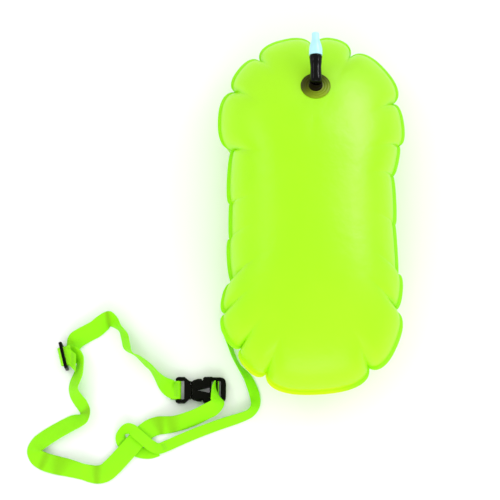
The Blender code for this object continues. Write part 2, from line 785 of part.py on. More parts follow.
def route_stations(route):
    """Stations of a webbing route: each has its middle and the unit vector to its left edge."""
    places = [Vector(row[:3]) for row in route]
    stations = []
    for i, row in enumerate(route):
        before = places[max(i - 1, 0)]
        after = places[min(i + 1, len(places) - 1)]
        heading = math.atan2(after.y - before.y, after.x - before.x) + math.pi / 2
        stations.append((places[i], width_vector(heading, math.radians(row[3]))))
    return stations


def twist_stations(route):
    """Stations whose width heading is given."""
    return [
        (Vector((x, y, z)), width_vector(math.radians(heading), math.radians(tilt)))
        for x, y, z, heading, tilt in route
    ]


def wrap_stations(centre, radius, forward, across, start, end, steps):
    """Stations round a bar: the angle is 0 at forward and 90 degrees straight up."""
    up = Vector((0, 0, 1))
    stations = []
    for i in range(steps + 1):
        angle = math.radians(start + (end - start) * i / steps)
        place = centre + forward * (radius * math.cos(angle)) + up * (radius * math.sin(angle))
        stations.append((place, across))
    return stations


def curve_between(values, i, share):
    """Catmull-Rom point between values i and i + 1."""
    before = values[max(i - 1, 0)]
    start = values[i]
    end = values[i + 1]
    after = values[min(i + 2, len(values) - 1)]
    return (
        start * 2
        + (end - before) * share
        + (before * 2 - start * 5 + end * 4 - after) * share**2
        + (start * 3 - before - end * 3 + after) * share**3
    ) / 2


def smooth_stations(stations, step):
    """More stations on the smooth curve through the given ones."""
    places = [place for place, _ in stations]
    widths = [width for _, width in stations]
    fine = []
    for i in range(len(stations) - 1):
        count = max(1, round((places[i + 1] - places[i]).length / step))
        for k in range(count):
            share = k / count
            width = curve_between(widths, i, share).normalized()
            fine.append((curve_between(places, i, share), width))
    fine.append(stations[-1])
    return fine


def webbing_shape(stations, width, thickness=WEBBING_THICKNESS):
    """Flat band of constant section along its stations."""
    shape = bmesh.new()
    rings = []
    for i, (place, across) in enumerate(stations):
        before = stations[max(i - 1, 0)][0]
        after = stations[min(i + 1, len(stations) - 1)][0]
        along = (after - before).normalized()
        through = along.cross(across).normalized() * (thickness / 2)
        side = across * (width / 2)
        corners = (side + through, -side + through, -side - through, side - through)
        rings.append([shape.verts.new(place + corner) for corner in corners])
    shape.faces.new(rings[0][::-1])
    shape.faces.new(rings[-1])
    bridge_rings(shape, rings)
    return shape


def stitch_shape(stations, width, first, through_sign):
    """Bar of thread lying on a webbing, over one stitch length from a station on."""
    place, across = stations[first]
    along = (stations[first + 1][0] - place).normalized()
    along = (along - across * along.dot(across)).normalized()
    lift = along.cross(across).normalized() * through_sign
    offset = (WEBBING_THICKNESS + STITCH_THICKNESS) / 2 + SEAT_GAP
    frame = frame_at(place + lift * offset, lift, along)
    half = width / 2 - STITCH_MARGIN
    return box_shape(
        (0.0, -half, -STITCH_THICKNESS / 2), (STITCH_LENGTH, half, STITCH_THICKNESS / 2), frame
    )


def buckle_frame():
    """Frame of the buckle: origin at its middle, on the middle plane of its thickness."""
    return Matrix.Translation((BUCKLE_X, BUCKLE_Y, BUCKLE_LIFT + BUCKLE_THICKNESS / 2))


def build_socket(plastic):
    """Socket half: plates, side walls with catching lips, a see-through window and a webbing slot."""
    frame = buckle_frame()
    half = BUCKLE_THICKNESS / 2
    wide = BUCKLE_WIDTH / 2
    body = box_shape((SOCKET_FRONT, -wide, -half), (SOCKET_BACK, wide, half), frame, BUCKLE_EDGE_ROUND)
    socket = add_piece("buckle_socket", body, plastic)
    plate = SOCKET_PLATE_WIDTH / 2
    middle = (SOCKET_FRONT + SOCKET_CAVITY_BACK) / 2
    plates = box_shape((SOCKET_PLATE_FRONT, -plate, -half), (middle, plate, half), frame)
    combine(socket, [helper(plates)], "UNION")
    room = CAVITY_HEIGHT / 2
    inner = wide - SOCKET_WALL
    cavity = box_shape((SOCKET_FRONT - CUT_OVERRUN, -inner, -room), (SOCKET_CAVITY_BACK, inner, room), frame)
    mouth = box_shape(
        (SOCKET_PLATE_FRONT - CUT_OVERRUN, -wide, -room), (SOCKET_FRONT, wide, room), frame
    )
    slot_half = SOCKET_SLOT_WIDTH / 2
    slot = box_shape(
        (SOCKET_SLOT_FRONT, -slot_half, -2 * half), (SOCKET_SLOT_BACK, slot_half, 2 * half), frame
    )
    window = prism_shape(
        ((WINDOW_TIP, 0.0), (WINDOW_BACK, -WINDOW_WIDTH / 2), (WINDOW_BACK, WINDOW_WIDTH / 2)),
        -2 * half,
        2 * half,
        frame,
    )
    combine(socket, [helper(cavity), helper(mouth), helper(slot), helper(window)])
    for sign in (1, -1):
        low, high = sorted((sign * LIP_REACH, sign * (wide - SOCKET_WALL / 2)))
        lip = box_shape(
            (SOCKET_FRONT, low, -room - CUT_OVERRUN / 2),
            (SOCKET_FRONT + LIP_LENGTH, high, room + CUT_OVERRUN / 2),
            frame,
        )
        combine(socket, [helper(lip)], "UNION")
    bar = frame_at(sewn_bar_centre() - Vector((0, slot_half + CUT_OVERRUN, 0)), Vector((0, 1, 0)))
    rod = rod_shape(SEWN_BAR_RADIUS, 0.0, SOCKET_SLOT_WIDTH + 2 * CUT_OVERRUN, bar, 12)
    combine(socket, [helper(rod)], "UNION")


def sewn_bar_centre():
    """Middle of the round bar across the socket half's slot."""
    return Vector((BUCKLE_X + SEWN_BAR_U, BUCKLE_Y, SEWN_BAR_HEIGHT))


def web_bar_centre():
    """Middle of the round bar of the prong half."""
    return Vector((BUCKLE_X + WEB_BAR_U, BUCKLE_Y, BUCKLE_LIFT + BUCKLE_THICKNESS / 2))


def build_prong(plastic):
    """Prong half without its arms: base, side rails and the bar that carries the webbing."""
    frame = buckle_frame()
    half = PRONG_THICKNESS / 2
    base = PRONG_BASE_WIDTH / 2
    wide = BUCKLE_WIDTH / 2
    body = box_shape((PRONG_BASE_FRONT, -base, -half), (PRONG_BACK, base, half), frame)
    prong = add_piece("buckle_prong", body, plastic)
    root = (base + wide) / 2
    yoke = box_shape((PRONG_BASE_FRONT, -root, -half), (PRONG_RAIL_BACK, root, half), frame)
    combine(prong, [helper(yoke)], "UNION")
    for sign in (1, -1):
        low, high = sorted((sign * base, sign * wide))
        rail = box_shape(
            (PRONG_FRONT, low, -half), (PRONG_RAIL_BACK, high, half), frame, BUCKLE_EDGE_ROUND
        )
        combine(prong, [helper(rail)], "UNION")
    bar = frame_at(web_bar_centre() - Vector((0, base + PRONG_RAIL_WIDTH / 2, 0)), Vector((0, 1, 0)))
    rod = rod_shape(WEB_BAR_RADIUS, 0.0, PRONG_BASE_WIDTH + PRONG_RAIL_WIDTH, bar, 12)
    combine(prong, [helper(rod)], "UNION")
    for sign in (1, -1):
        pivot = arm_pivot(sign)
        socket = frame_at(pivot, Vector((0, 0, 1)))
        radius = ARM_ROOT_RADIUS + SEAT_GAP
        combine(prong, [helper(rod_shape(radius, -2 * half, 2 * half, socket, 20))])


def arm_pivot(sign):
    """Root of an arm, where it flexes."""
    return Vector(
        (BUCKLE_X + PRONG_BACK, BUCKLE_Y + sign * ARM_PIVOT_V, BUCKLE_LIFT + BUCKLE_THICKNESS / 2)
    )


def build_arm(name, sign, plastic):
    """Springy arm with its finger pad and hook, rounded at its root."""
    half = ARM_HEIGHT / 2
    outline = []
    for step in range(7):
        angle = math.pi / 2 + math.pi * step / 6
        outline.append(
            (
                PRONG_BACK + ARM_ROOT_RADIUS * math.cos(angle),
                ARM_PIVOT_V + ARM_ROOT_RADIUS * math.sin(angle),
            )
        )
    pad_round = (ARM_PAD_V - ARM_SHANK) / 3
    outline += [
        (ARM_PAD_FRONT, ARM_INNER),
        (ARM_HOOK_BACK, ARM_INNER),
        (ARM_HOOK_BACK, ARM_SHANK),
        (ARM_HOOK_FRONT + pad_round, ARM_HOOK_V),
        (ARM_HOOK_FRONT, ARM_HOOK_V),
        (ARM_HOOK_FRONT, ARM_SHANK),
        (ARM_PAD_BACK, ARM_SHANK),
        (ARM_PAD_BACK, ARM_PAD_V - pad_round),
        (ARM_PAD_BACK - pad_round, ARM_PAD_V),
        (ARM_PAD_FRONT + 2 * pad_round, ARM_PAD_V),
        (ARM_PAD_FRONT, ARM_PAD_V - 2 * pad_round),
    ]
    if sign < 0:
        outline = [(u, -v) for u, v in reversed(outline)]
    arm = add_piece(name, prism_shape(outline, -half, half, buckle_frame()), plastic)
    set_origin(arm, arm_pivot(sign))


def slider_axes():
    """Middle of the slider, the direction through it and the direction along its bars."""
    through = Vector((math.cos(SLIDER_TURN), math.sin(SLIDER_TURN), 0))
    along = Vector((math.sin(SLIDER_TURN), -math.cos(SLIDER_TURN), 0))
    middle = Vector((SLIDER_X, SLIDER_Y, SLIDER_LIFT + SLIDER_HEIGHT / 2))
    return middle, through, along


def build_slider(plastic):
    """Three-bar slider with two slots."""
    middle, through, along = slider_axes()
    frame = frame_at(middle, through, along)
    long_half = SLIDER_LENGTH / 2
    high = SLIDER_HEIGHT / 2
    thick = SLIDER_THICKNESS / 2
    body = box_shape((-long_half, -high, -thick), (long_half, high, thick), frame, SLIDER_EDGE_ROUND)
    slider = add_piece("belt_slider", body, plastic)
    slot = SLIDER_SLOT_WIDTH / 2
    bar = SLIDER_BAR / 2
    for sign in (1, -1):
        low, top = sorted((sign * bar, sign * (high - SLIDER_BAR)))
        cut = box_shape((-slot, low, -2 * thick), (slot, top, 2 * thick), frame)
        combine(slider, [helper(cut)])


def slider_turns():
    """Radii of the two plies that wrap the slider's middle bar, the sewn one inside."""
    inner = math.hypot(SLIDER_BAR, SLIDER_THICKNESS) / 2 + SEAT_GAP + WEBBING_THICKNESS / 2
    return inner, inner + WEBBING_THICKNESS + SEAT_GAP


def belt_front_stations():
    """Stations from the end sewn under the prong half's bar, through the slider, to the free tail."""
    centre = web_bar_centre()
    forward = Vector((1, 0, 0))
    across = Vector((0, -1, 0))
    radius = WEB_BAR_RADIUS + SEAT_GAP + WEBBING_THICKNESS / 2
    under = centre - Vector((0, 0, radius))
    stations = [(under - forward * PRONG_SEWN_LENGTH, across), (under - forward * radius, across)]
    stations += wrap_stations(centre, radius, forward, across, -90, 90, 8)
    stations.append((centre + Vector((-2 * radius, 0, radius)), across))
    stations += route_stations(FRONT_ROUTE) + twist_stations(SLIDER_TWIST)
    middle, through, along = slider_axes()
    turn = slider_turns()[1]
    stations.append((middle + through * turn - Vector((0, 0, turn)), along))
    stations += wrap_stations(middle, turn, -through, along, -90, 90, 8)
    for share in TAIL_SHARES:
        place = middle + through * (TAIL_LENGTH * share) + Vector((0, -TAIL_DRIFT * share**1.6, turn))
        stations.append((place, along.lerp(Vector((0, -1, 0)), share).normalized()))
    return stations


def belt_main_stations():
    """Stations from the end sewn round the slider's middle bar to the end sewn in the socket half."""
    middle, through, along = slider_axes()
    turn = slider_turns()[0]
    up = Vector((0, 0, turn))
    stations = [
        (middle + through * (TAIL_LENGTH * share) + up, -along) for share in SEWN_TAIL_SHARES
    ]
    stations += wrap_stations(middle, turn, -through, -along, 90, -90, 8)
    for share, drop in EXIT_SHARES:
        stations.append((middle + through * (TAIL_LENGTH * share) - up * drop, -along))
    stations += twist_stations(SLIDER_EXIT) + route_stations(MAIN_ROUTE)
    stations += twist_stations(SOCKET_TWIST)
    centre = sewn_bar_centre()
    radius = SEWN_BAR_RADIUS + SEAT_GAP + WEBBING_THICKNESS / 2
    forward = Vector((1, 0, 0))
    across = Vector((0, 1, 0))
    stations.append((centre + Vector((-radius, 0, radius)), across))
    stations += wrap_stations(centre, radius, forward, across, 180, 360, 8)
    stations.append((centre + Vector((radius, 0, radius)), across))
    return stations


def anchor_frame(back):
    """Frame of the anchor: Z is the panel's outward normal, X points the way the tether leaves."""
    place = surface_frame(back, ANCHOR_PLACE_SHARES, -1)
    heading = Vector((math.cos(ANCHOR_HEADING), math.sin(ANCHOR_HEADING), 0))
    return frame_at(place.translation, place.to_3x3() @ Vector((0, 0, 1)), heading)


def anchor_heights():
    """Heights over the panel of the loop's foot, its top and the tether's plies under and over it."""
    half = WEBBING_THICKNESS / 2
    foot = DISC_GAP + ANCHOR_THICKNESS + SEAT_GAP + half
    top = foot + ANCHOR_RISE
    return foot, top, foot + SEAT_GAP, top + WEBBING_THICKNESS + 2 * SEAT_GAP


def tether_stations(frame):
    """Stations from the sewn end, round the anchor loop, to the end loop round the belt."""
    _, _, inside, outside = anchor_heights()
    turn = (outside - inside) / 2
    half = TETHER_WIDTH / 2 + SEAT_GAP
    rows = [(SEWN_END_LENGTH, outside - 2 * WEBBING_THICKNESS), (half, inside), (-half, inside)]
    rows += [(-half - turn, (inside + outside) / 2), (-half, outside), (half, outside)]
    rows.append((SEWN_END_LENGTH, outside))
    across = frame.to_3x3() @ Vector((0, 1, 0))
    stations = [(frame @ Vector((p, 0, n)), across) for p, n in rows]
    return stations + route_stations(TETHER_ROUTE)


def build_anchor(frame, pvc_back, webbing):
    """Welded disc on the back panel with the webbing loop that holds the tether."""
    build_disc("anchor_patch", -1, frame, ANCHOR_RADIUS, ANCHOR_THICKNESS, pvc_back)
    foot, top, _, _ = anchor_heights()
    across = frame.to_3x3() @ Vector((1, 0, 0))
    rows = [(ANCHOR_FOOT_SPAN, foot), (ANCHOR_FOOT_SPAN - ANCHOR_RISE, foot)]
    rows += [(ANCHOR_SIDE_SPAN, (foot + top) / 2), (ANCHOR_TOP_SPAN, top)]
    rows += [(-q, n) for q, n in reversed(rows)]
    stations = [(frame @ Vector((0, q, n)), across) for q, n in rows]
    loop = webbing_shape(smooth_stations(stations, WEBBING_STEP), TETHER_WIDTH)
    add_piece("anchor_loop", loop, webbing)


def nearest_station(stations, place):
    """Index of the station nearest to a place."""
    return min(range(len(stations)), key=lambda k: (stations[k][0] - place).length)


def add_stitches(name, places, thread):
    """One piece of bar stitches at (stations, width, index, side) places."""
    shape = bmesh.new()
    for stations, width, first, side in places:
        bar = bpy.data.meshes.new("bar")
        part = stitch_shape(stations, width, first, side)
        part.to_mesh(bar)
        part.free()
        shape.from_mesh(bar)
        bpy.data.meshes.remove(bar)
    return add_piece(name, shape, thread)


def build_webbing(frame, webbing, thread):
    """Belt and tether webbing with their stitched ends."""
    front = smooth_stations(belt_front_stations(), WEBBING_STEP)
    main = smooth_stations(belt_main_stations(), WEBBING_STEP)
    tether = smooth_stations(tether_stations(frame), WEBBING_STEP)
    add_piece("belt_front_strand", webbing_shape(front, BELT_WIDTH), webbing)
    add_piece("belt_main_strand", webbing_shape(main, BELT_WIDTH), webbing)
    add_piece("tether_strap", webbing_shape(tether, TETHER_WIDTH), webbing)
    count = len(front)
    add_stitches("prong_stitches", [(front, BELT_WIDTH, PRONG_STITCH_STATION, 1)], thread)
    add_stitches("belt_stitches", [(front, BELT_WIDTH, count - 2, -1)], thread)
    joint = nearest_station(tether, Vector((JUNCTION_X, JUNCTION_Y, JUNCTION_Z)))
    add_stitches("tether_stitches", [(tether, TETHER_WIDTH, joint, 1)], thread)


def build_all():
    """Build every piece."""
    clear_scene()
    pvc = finish_material("pvc", PVC_COLOUR, 0.38)
    pvc_back = finish_material("pvc_back", PVC_BACK_COLOUR, 0.4)
    webbing = finish_material("webbing", WEBBING_COLOUR, 0.75)
    thread = finish_material("thread", STITCH_COLOUR, 0.8)
    olive = finish_material("olive_pvc", OLIVE_COLOUR, 0.35)
    hub_black = finish_material("hub_black", HUB_COLOUR, 0.4)
    rubber = finish_material("rubber", RUBBER_COLOUR, 0.18)
    mouth_plastic = finish_material("mouthpiece_plastic", MOUTHPIECE_COLOUR, 0.4)
    seal_rubber = finish_material("seal_rubber", SEAL_COLOUR, 0.5)
    plastic = finish_material("black_plastic", PLASTIC_COLOUR, 0.35)

    front, back = build_panels(pvc, pvc_back)
    valve = surface_frame(front, VALVE_PLACE_SHARES, 1)
    build_patch_and_hub(front, valve, olive, hub_black)
    build_stem(valve, rubber)
    build_core(valve, plastic, seal_rubber)
    build_mouthpiece(valve, mouth_plastic)
    build_socket(plastic)
    build_prong(plastic)
    build_arm("buckle_arm_upper", 1, plastic)
    build_arm("buckle_arm_lower", -1, plastic)
    build_slider(plastic)
    anchor = anchor_frame(back)
    build_anchor(anchor, pvc_back, webbing)
    build_webbing(anchor, webbing, thread)


build_all()
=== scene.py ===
"""Looks of the open water swim buoy: a swollen lime bladder, its oral valve, a tether and a belt."""

from math import atan2, cos, exp, hypot, log1p, pi, radians, sin, tan

import bmesh
import bpy
from mathutils import Matrix, Vector
from mathutils.bvhtree import BVHTree


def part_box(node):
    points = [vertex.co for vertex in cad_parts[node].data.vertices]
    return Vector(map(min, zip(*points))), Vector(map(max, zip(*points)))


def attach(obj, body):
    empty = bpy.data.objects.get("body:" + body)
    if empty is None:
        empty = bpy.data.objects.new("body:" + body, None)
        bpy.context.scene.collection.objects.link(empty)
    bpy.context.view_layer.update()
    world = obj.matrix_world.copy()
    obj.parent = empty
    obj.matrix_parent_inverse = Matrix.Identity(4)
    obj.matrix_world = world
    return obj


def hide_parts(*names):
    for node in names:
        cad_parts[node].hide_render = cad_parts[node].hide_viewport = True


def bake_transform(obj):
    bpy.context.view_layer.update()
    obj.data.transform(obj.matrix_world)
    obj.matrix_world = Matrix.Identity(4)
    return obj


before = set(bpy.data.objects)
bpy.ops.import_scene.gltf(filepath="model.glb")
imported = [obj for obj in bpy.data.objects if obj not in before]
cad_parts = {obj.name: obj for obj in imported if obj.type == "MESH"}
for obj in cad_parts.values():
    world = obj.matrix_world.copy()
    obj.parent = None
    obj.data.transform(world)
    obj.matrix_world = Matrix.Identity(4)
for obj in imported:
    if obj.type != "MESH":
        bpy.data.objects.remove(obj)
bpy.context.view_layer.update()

# Camera, floor and light

CAMERA_PLACE = (-0.08469, -0.61808, 2.20004)
CAMERA_TILT = radians(15.0)
LENS = 116.9
FLOOR_REACH = 6.0
FLOOR_TONE = 0.96
# Soft boxes: name, place, target, size, power, and whether they light matt surfaces too
SOFT_BOXES = (
    ("right", (1.35, 0.75, 1.30), (0.0, 0.0, 0.05), (0.9, 0.7), 4.5, True),
    ("gleam", (1.35, 0.75, 1.30), (0.0, 0.05, 0.10), (0.34, 0.28), 9.0, False),
    ("high_gleam", (1.00, 1.35, 1.45), (0.0, 0.05, 0.10), (0.70, 0.55), 30.0, False),
    ("left", (-1.45, 0.70, 1.25), (-0.1, -0.05, 0.05), (0.5, 0.4), 3.4, True),
    ("front", (0.1, -2.2, 1.3), (-0.1, -0.1, 0.0), (2.2, 0.8), 22.0, True),
)


def new_object(name, data):
    """Object of the scene that shows its data."""
    made = bpy.data.objects.new(name, data)
    bpy.context.scene.collection.objects.link(made)
    return made


def make_camera():
    """Camera at the photograph's angle, 75 degrees above the floor."""
    data = bpy.data.cameras.new("camera")
    data.lens = LENS
    camera = new_object("camera", data)
    camera.location = CAMERA_PLACE
    camera.rotation_euler = (CAMERA_TILT, 0.0, 0.0)
    bpy.context.scene.camera = camera


def make_soft_box(name, place, target, size, power, matt):
    """Rectangular light that looks at a point."""
    data = bpy.data.lights.new(name, "AREA")
    data.shape = "RECTANGLE"
    data.size, data.size_y = size
    data.energy = power
    light = new_object(name, data)
    light.location = place
    light.rotation_euler = (Vector(target) - Vector(place)).to_track_quat("-Z", "Y").to_euler()
    light.visible_diffuse = matt


def make_floor():
    """Plain pale floor."""
    mesh = bpy.data.meshes.new("floor")
    corners = [(FLOOR_REACH * u, FLOOR_REACH * v, 0) for u, v in ((-1, -1), (1, -1), (1, 1), (-1, 1))]
    mesh.from_pydata(corners, [], [(0, 1, 2, 3)])
    mesh.materials.append(floor_material())
    floor = new_object("floor", mesh)


def make_stage():
    """Floor, white surroundings and the soft boxes."""
    make_floor()
    world = bpy.data.worlds.new("studio")
    world.use_nodes = True
    back = world.node_tree.nodes["Background"]
    back.inputs["Color"].default_value = (1.0, 1.0, 1.0, 1.0)
    bpy.context.scene.world = world
    bpy.context.scene.view_settings.view_transform = "Standard"
    for box in SOFT_BOXES:
        make_soft_box(*box)


# Materials

LIME = (0.365, 0.82, 0.0004)
LIME_WELD = (0.36, 0.92, 0.0008)
# Pale lime: the film's random cloudiness, and the colour of its painted sheen
LIME_PALE = (0.42, 0.88, 0.007)
RIM_YELLOW = (0.70, 0.93, 0.001)
WEB = (0.31, 0.93, 0.0018)
WEB_SHADE = (0.25, 0.79, 0.0010)
# Painted shade of the webbing at its creases and where it turns from the light
WEB_PAINTED_SHADE = (0.215, 0.55, 0.0002)
THREAD = (0.36, 0.78, 0.02)
OLIVE = (0.045, 0.052, 0.0004)
# Lit olive of the disc's painted light
OLIVE_PAINTED_LIGHT = (0.27, 0.40, 0.006)
STEM_BLACK = (0.0020, 0.0018, 0.0014)
BOOT_BLACK = (0.0055, 0.0040, 0.0006)
SEAL_BLACK = (0.02, 0.02, 0.02)
BUCKLE_BLACK = (0.0022, 0.0026, 0.0010)
PALE_BLUE = (0.44, 0.80, 0.87)

# Stretches over which the film changes, most of them measured inward from the rim
WELD_EDGE = (0.0044, 0.0062)
# Painted sheen just inside the weld, where the lobes turn toward the light: where it starts and where it
# ends
PAINTED_SHEEN_START = (0.0060, 0.0090)
PAINTED_SHEEN_END = (0.011, 0.036)
LOW_RIM_DEPTH = (0.0025, 0.0078)
LOW_RIM_ALONG = (-0.225, -0.170)
LOW_RIM_ACROSS = (0.02, 0.07)

# Pitches and depths of the fine relief
KNURL_PITCH = 0.0011
KNURL_DEPTH = 0.00008
DRAPE_DEPTH = 0.0006
FILM_GRAIN_DEPTH = 0.00003
RIB_PITCH = 0.0016
THREAD_PITCH = 0.0011
SLANT_PITCH = 0.0022
WEAVE_DEPTH = 0.00012
FUZZ_DEPTH = 0.00006
TWIST_DEPTH = 0.00008
RIPPLE_DEPTH = 0.00012
SPECK_DEPTH = 0.00002
SPARK_DEPTH = 0.00004
RUBBED_EDGE = 0.0008
# The disc's painted light grows along a slanting direction, from one distance to another
PAINTED_LIGHT_SLANT = (0.55, -0.83)
PAINTED_LIGHT_STRETCH = (-0.146, -0.112)


class Nodes:
    """Short way to build a material's node tree."""

    def __init__(self, name):
        self.material = bpy.data.materials.new(name)
        self.material.use_nodes = True
        self.tree = self.material.node_tree
        self.shader = self.tree.nodes["Principled BSDF"]

    def add(self, kind, inputs=None, **settings):
        """New node; inputs are values or sockets, by name or index."""
        node = self.tree.nodes.new(kind)
        for key, value in settings.items():
            setattr(node, key, value)
        for key, value in (inputs or {}).items():
            self.put(node, key, value)
        return node

    def put(self, node, key, value):
        """Set or link one input; a colour gets its alpha."""
        if isinstance(value, bpy.types.NodeSocket):
            self.tree.links.new(value, node.inputs[key])
        elif isinstance(value, tuple):
            node.inputs[key].default_value = (*value, 1.0)
        else:
            node.inputs[key].default_value = value

    def math(self, operation, first, second=0.0):
        """Output of a Math node."""
        return self.add("ShaderNodeMath", {0: first, 1: second}, operation=operation).outputs[0]

    def product(self, first, second):
        """Two values multiplied."""
        return self.math("MULTIPLY", first, second)

    def wave(self, value, pitch):
        """Sine whose waves are a pitch apart."""
        return self.math("SINE", self.product(value, 2 * pi / pitch))

    def ramp(self, value, low, high, to_low=0.0, to_high=1.0):
        """Value mapped smoothly from one range to another."""
        inputs = {"Value": value, "From Min": low, "From Max": high, "To Min": to_low, "To Max": to_high}
        return self.add("ShaderNodeMapRange", inputs, interpolation_type="SMOOTHSTEP").outputs["Result"]

    def fade(self, value, low, high):
        """One below the range, falling smoothly to zero above it."""
        return self.ramp(value, low, high, 1.0, 0.0)

    def mix(self, factor, first, second):
        """Mix of two colours."""
        inputs = {0: factor, 6: first, 7: second}
        return self.add("ShaderNodeMix", inputs, data_type="RGBA").outputs[2]

    def noise(self, scale, detail=3.0):
        """Noise between 0 and 1."""
        inputs = {"Scale": scale, "Detail": detail, "Vector": self.place()}
        return self.add("ShaderNodeTexNoise", inputs).outputs["Fac"]

    def place(self):
        """Position on the piece."""
        return self.add("ShaderNodeTexCoord").outputs["Object"]

    def attribute(self, name):
        """Value stored on the mesh's points."""
        return self.add("ShaderNodeAttribute", attribute_name=name).outputs["Fac"]

    def finish(self, colour, roughness, bumps, gloss=0.5, sheen=0.0):
        """Connect the shader: bumps are (height socket, distance) pairs."""
        self.put(self.shader, "Base Color", colour)
        self.put(self.shader, "Roughness", roughness)
        self.put(self.shader, "Specular IOR Level", gloss)
        self.put(self.shader, "Sheen Weight", sheen)
        normal = None
        for height, distance in bumps:
            node = self.add("ShaderNodeBump", {"Height": height, "Distance": distance})
            if normal is not None:
                self.put(node, "Normal", normal)
            normal = node.outputs["Normal"]
        if normal is not None:
            self.put(self.shader, "Normal", normal)
        return self.material


def floor_material():
    """Matt and nearly white."""
    return Nodes("floor").finish((FLOOR_TONE, FLOOR_TONE, FLOOR_TONE), 0.9, (), gloss=0.1)


def film_material(name):
    """Glossy film with a heat-pressed band along its rim, which looks yellow at the low end, and a
    painted sheen just inside the band.
    """
    n = Nodes(name)
    inward = n.attribute("inward")
    along = n.attribute("along")
    spot = n.add("ShaderNodeSeparateXYZ", {0: n.place()}).outputs
    band = n.fade(inward, *WELD_EDGE)
    painted_sheen = n.product(n.ramp(inward, *PAINTED_SHEEN_START), n.fade(inward, *PAINTED_SHEEN_END))
    corner = n.product(n.fade(spot[1], *LOW_RIM_ALONG), n.fade(spot[0], *LOW_RIM_ACROSS))
    low_rim = n.product(corner, n.fade(inward, *LOW_RIM_DEPTH))
    cloud = n.noise(9.0, 2.0)
    tone = n.mix(n.ramp(cloud, 0.3, 0.7, 0.0, 0.35), LIME, LIME_PALE)
    # Painted sheen just inside the weld
    tone = n.mix(n.product(painted_sheen, 0.45), tone, LIME_PALE)
    tone = n.mix(n.product(band, 0.9), tone, LIME_WELD)
    tone = n.mix(low_rim, tone, RIM_YELLOW)
    grain = n.noise(2600.0, 2.0)
    drape = n.noise(55.0)
    press = n.wave(n.math("ADD", along, inward), KNURL_PITCH)
    cross = n.wave(n.math("SUBTRACT", along, inward), KNURL_PITCH)
    knurl = n.product(n.product(press, cross), band)
    rough = n.math("ADD", n.product(band, 0.10), n.ramp(cloud, 0.3, 0.7, 0.34, 0.42))
    bumps = ((drape, DRAPE_DEPTH), (grain, FILM_GRAIN_DEPTH), (knurl, KNURL_DEPTH))
    return n.finish(tone, rough, bumps, gloss=0.26)


def webbing_material():
    """Woven polyester webbing: ribs across, a herringbone of fine threads, and painted shade at its
    creases.
    """
    n = Nodes("lime_webbing")
    along = n.attribute("along")
    across = n.attribute("across")
    slant = n.wave(n.math("ADD", along, n.math("ABSOLUTE", across)), SLANT_PITCH)
    ribs = n.product(n.wave(along, RIB_PITCH), n.wave(across, THREAD_PITCH))
    weave = n.math("ADD", ribs, n.product(slant, 0.6))
    fuzz = n.noise(1800.0, 2.0)
    worn = n.noise(38.0)
    tone = n.mix(n.ramp(weave, -1.2, 0.6), WEB_SHADE, WEB)
    tone = n.mix(n.ramp(worn, 0.45, 0.75, 0.0, 0.25), tone, WEB_SHADE)
    # Painted shade at the creases and on the steep stretches of the band
    tone = n.mix(n.attribute("painted_shade"), tone, WEB_PAINTED_SHADE)
    rough = n.ramp(weave, -1.4, 1.4, 0.62, 0.46)
    return n.finish(tone, rough, ((weave, WEAVE_DEPTH), (fuzz, FUZZ_DEPTH)), gloss=0.15)


def thread_material():
    """Twisted sewing thread."""
    n = Nodes("lime_thread")
    twist = n.noise(3000.0, 2.0)
    shade = tuple(c * 0.6 for c in THREAD)
    tone = n.mix(n.ramp(twist, 0.35, 0.65), shade, THREAD)
    return n.finish(tone, 0.7, ((twist, TWIST_DEPTH),), sheen=0.3)


def rubber_material(name, colour, rough, gloss):
    """Soft rubber with faint dust and a skin of fine ripples."""
    n = Nodes(name)
    ripple = n.noise(160.0)
    fine = n.noise(2200.0, 2.0)
    dusty = tuple(c * 1.9 for c in colour)
    tone = n.mix(n.ramp(ripple, 0.3, 0.8, 0.0, 0.5), colour, dusty)
    roughness = n.ramp(ripple, 0.3, 0.7, rough * 0.85, rough * 1.25)
    bumps = ((ripple, RIPPLE_DEPTH), (fine, SPECK_DEPTH))
    return n.finish(tone, roughness, bumps, gloss=gloss)


def disc_material():
    """Olive film disc with painted light and shade: paler toward its lower right, darker toward its upper
    left where the hub shades it.
    """
    n = Nodes("olive_disc")
    spot = n.add("ShaderNodeSeparateXYZ", {0: n.place()}).outputs
    toward = n.math("ADD", n.product(spot[0], PAINTED_LIGHT_SLANT[0]), n.product(spot[1], PAINTED_LIGHT_SLANT[1]))
    cloud = n.noise(120.0)
    # Painted light toward the lower right, painted shade of the hub toward the upper left
    light = n.product(n.ramp(toward, *PAINTED_LIGHT_STRETCH), n.ramp(cloud, 0.25, 0.75, 0.8, 1.0))
    tone = n.mix(light, OLIVE, OLIVE_PAINTED_LIGHT)
    grain = n.noise(2200.0, 2.0)
    rough = n.ramp(cloud, 0.3, 0.7, 0.36, 0.48)
    return n.finish(tone, rough, ((grain, SPECK_DEPTH),), gloss=0.12)


def plastic_material(name, colour, rough, gloss):
    """Moulded satin plastic with a spark-eroded grain and rubbed edges."""
    n = Nodes(name)
    grain = n.noise(1500.0)
    flow = n.noise(45.0)
    edge = n.add("ShaderNodeBevel", {"Radius": RUBBED_EDGE}, samples=4).outputs["Normal"]
    flat = n.add("ShaderNodeNewGeometry").outputs["Normal"]
    turn = n.add("ShaderNodeVectorMath", {0: edge, 1: flat}, operation="DOT_PRODUCT").outputs["Value"]
    rub = n.ramp(turn, 0.80, 0.97, 0.45, 0.0)
    pale = tuple(min(c * 2.0 + 0.012, 1.0) for c in colour)
    tone = n.mix(rub, colour, pale)
    satin = n.ramp(flow, 0.3, 0.7, rough * 0.88, rough * 1.12)
    roughness = n.math("ADD", satin, n.product(rub, 0.1))
    return n.finish(tone, roughness, ((grain, SPARK_DEPTH),), gloss=gloss)


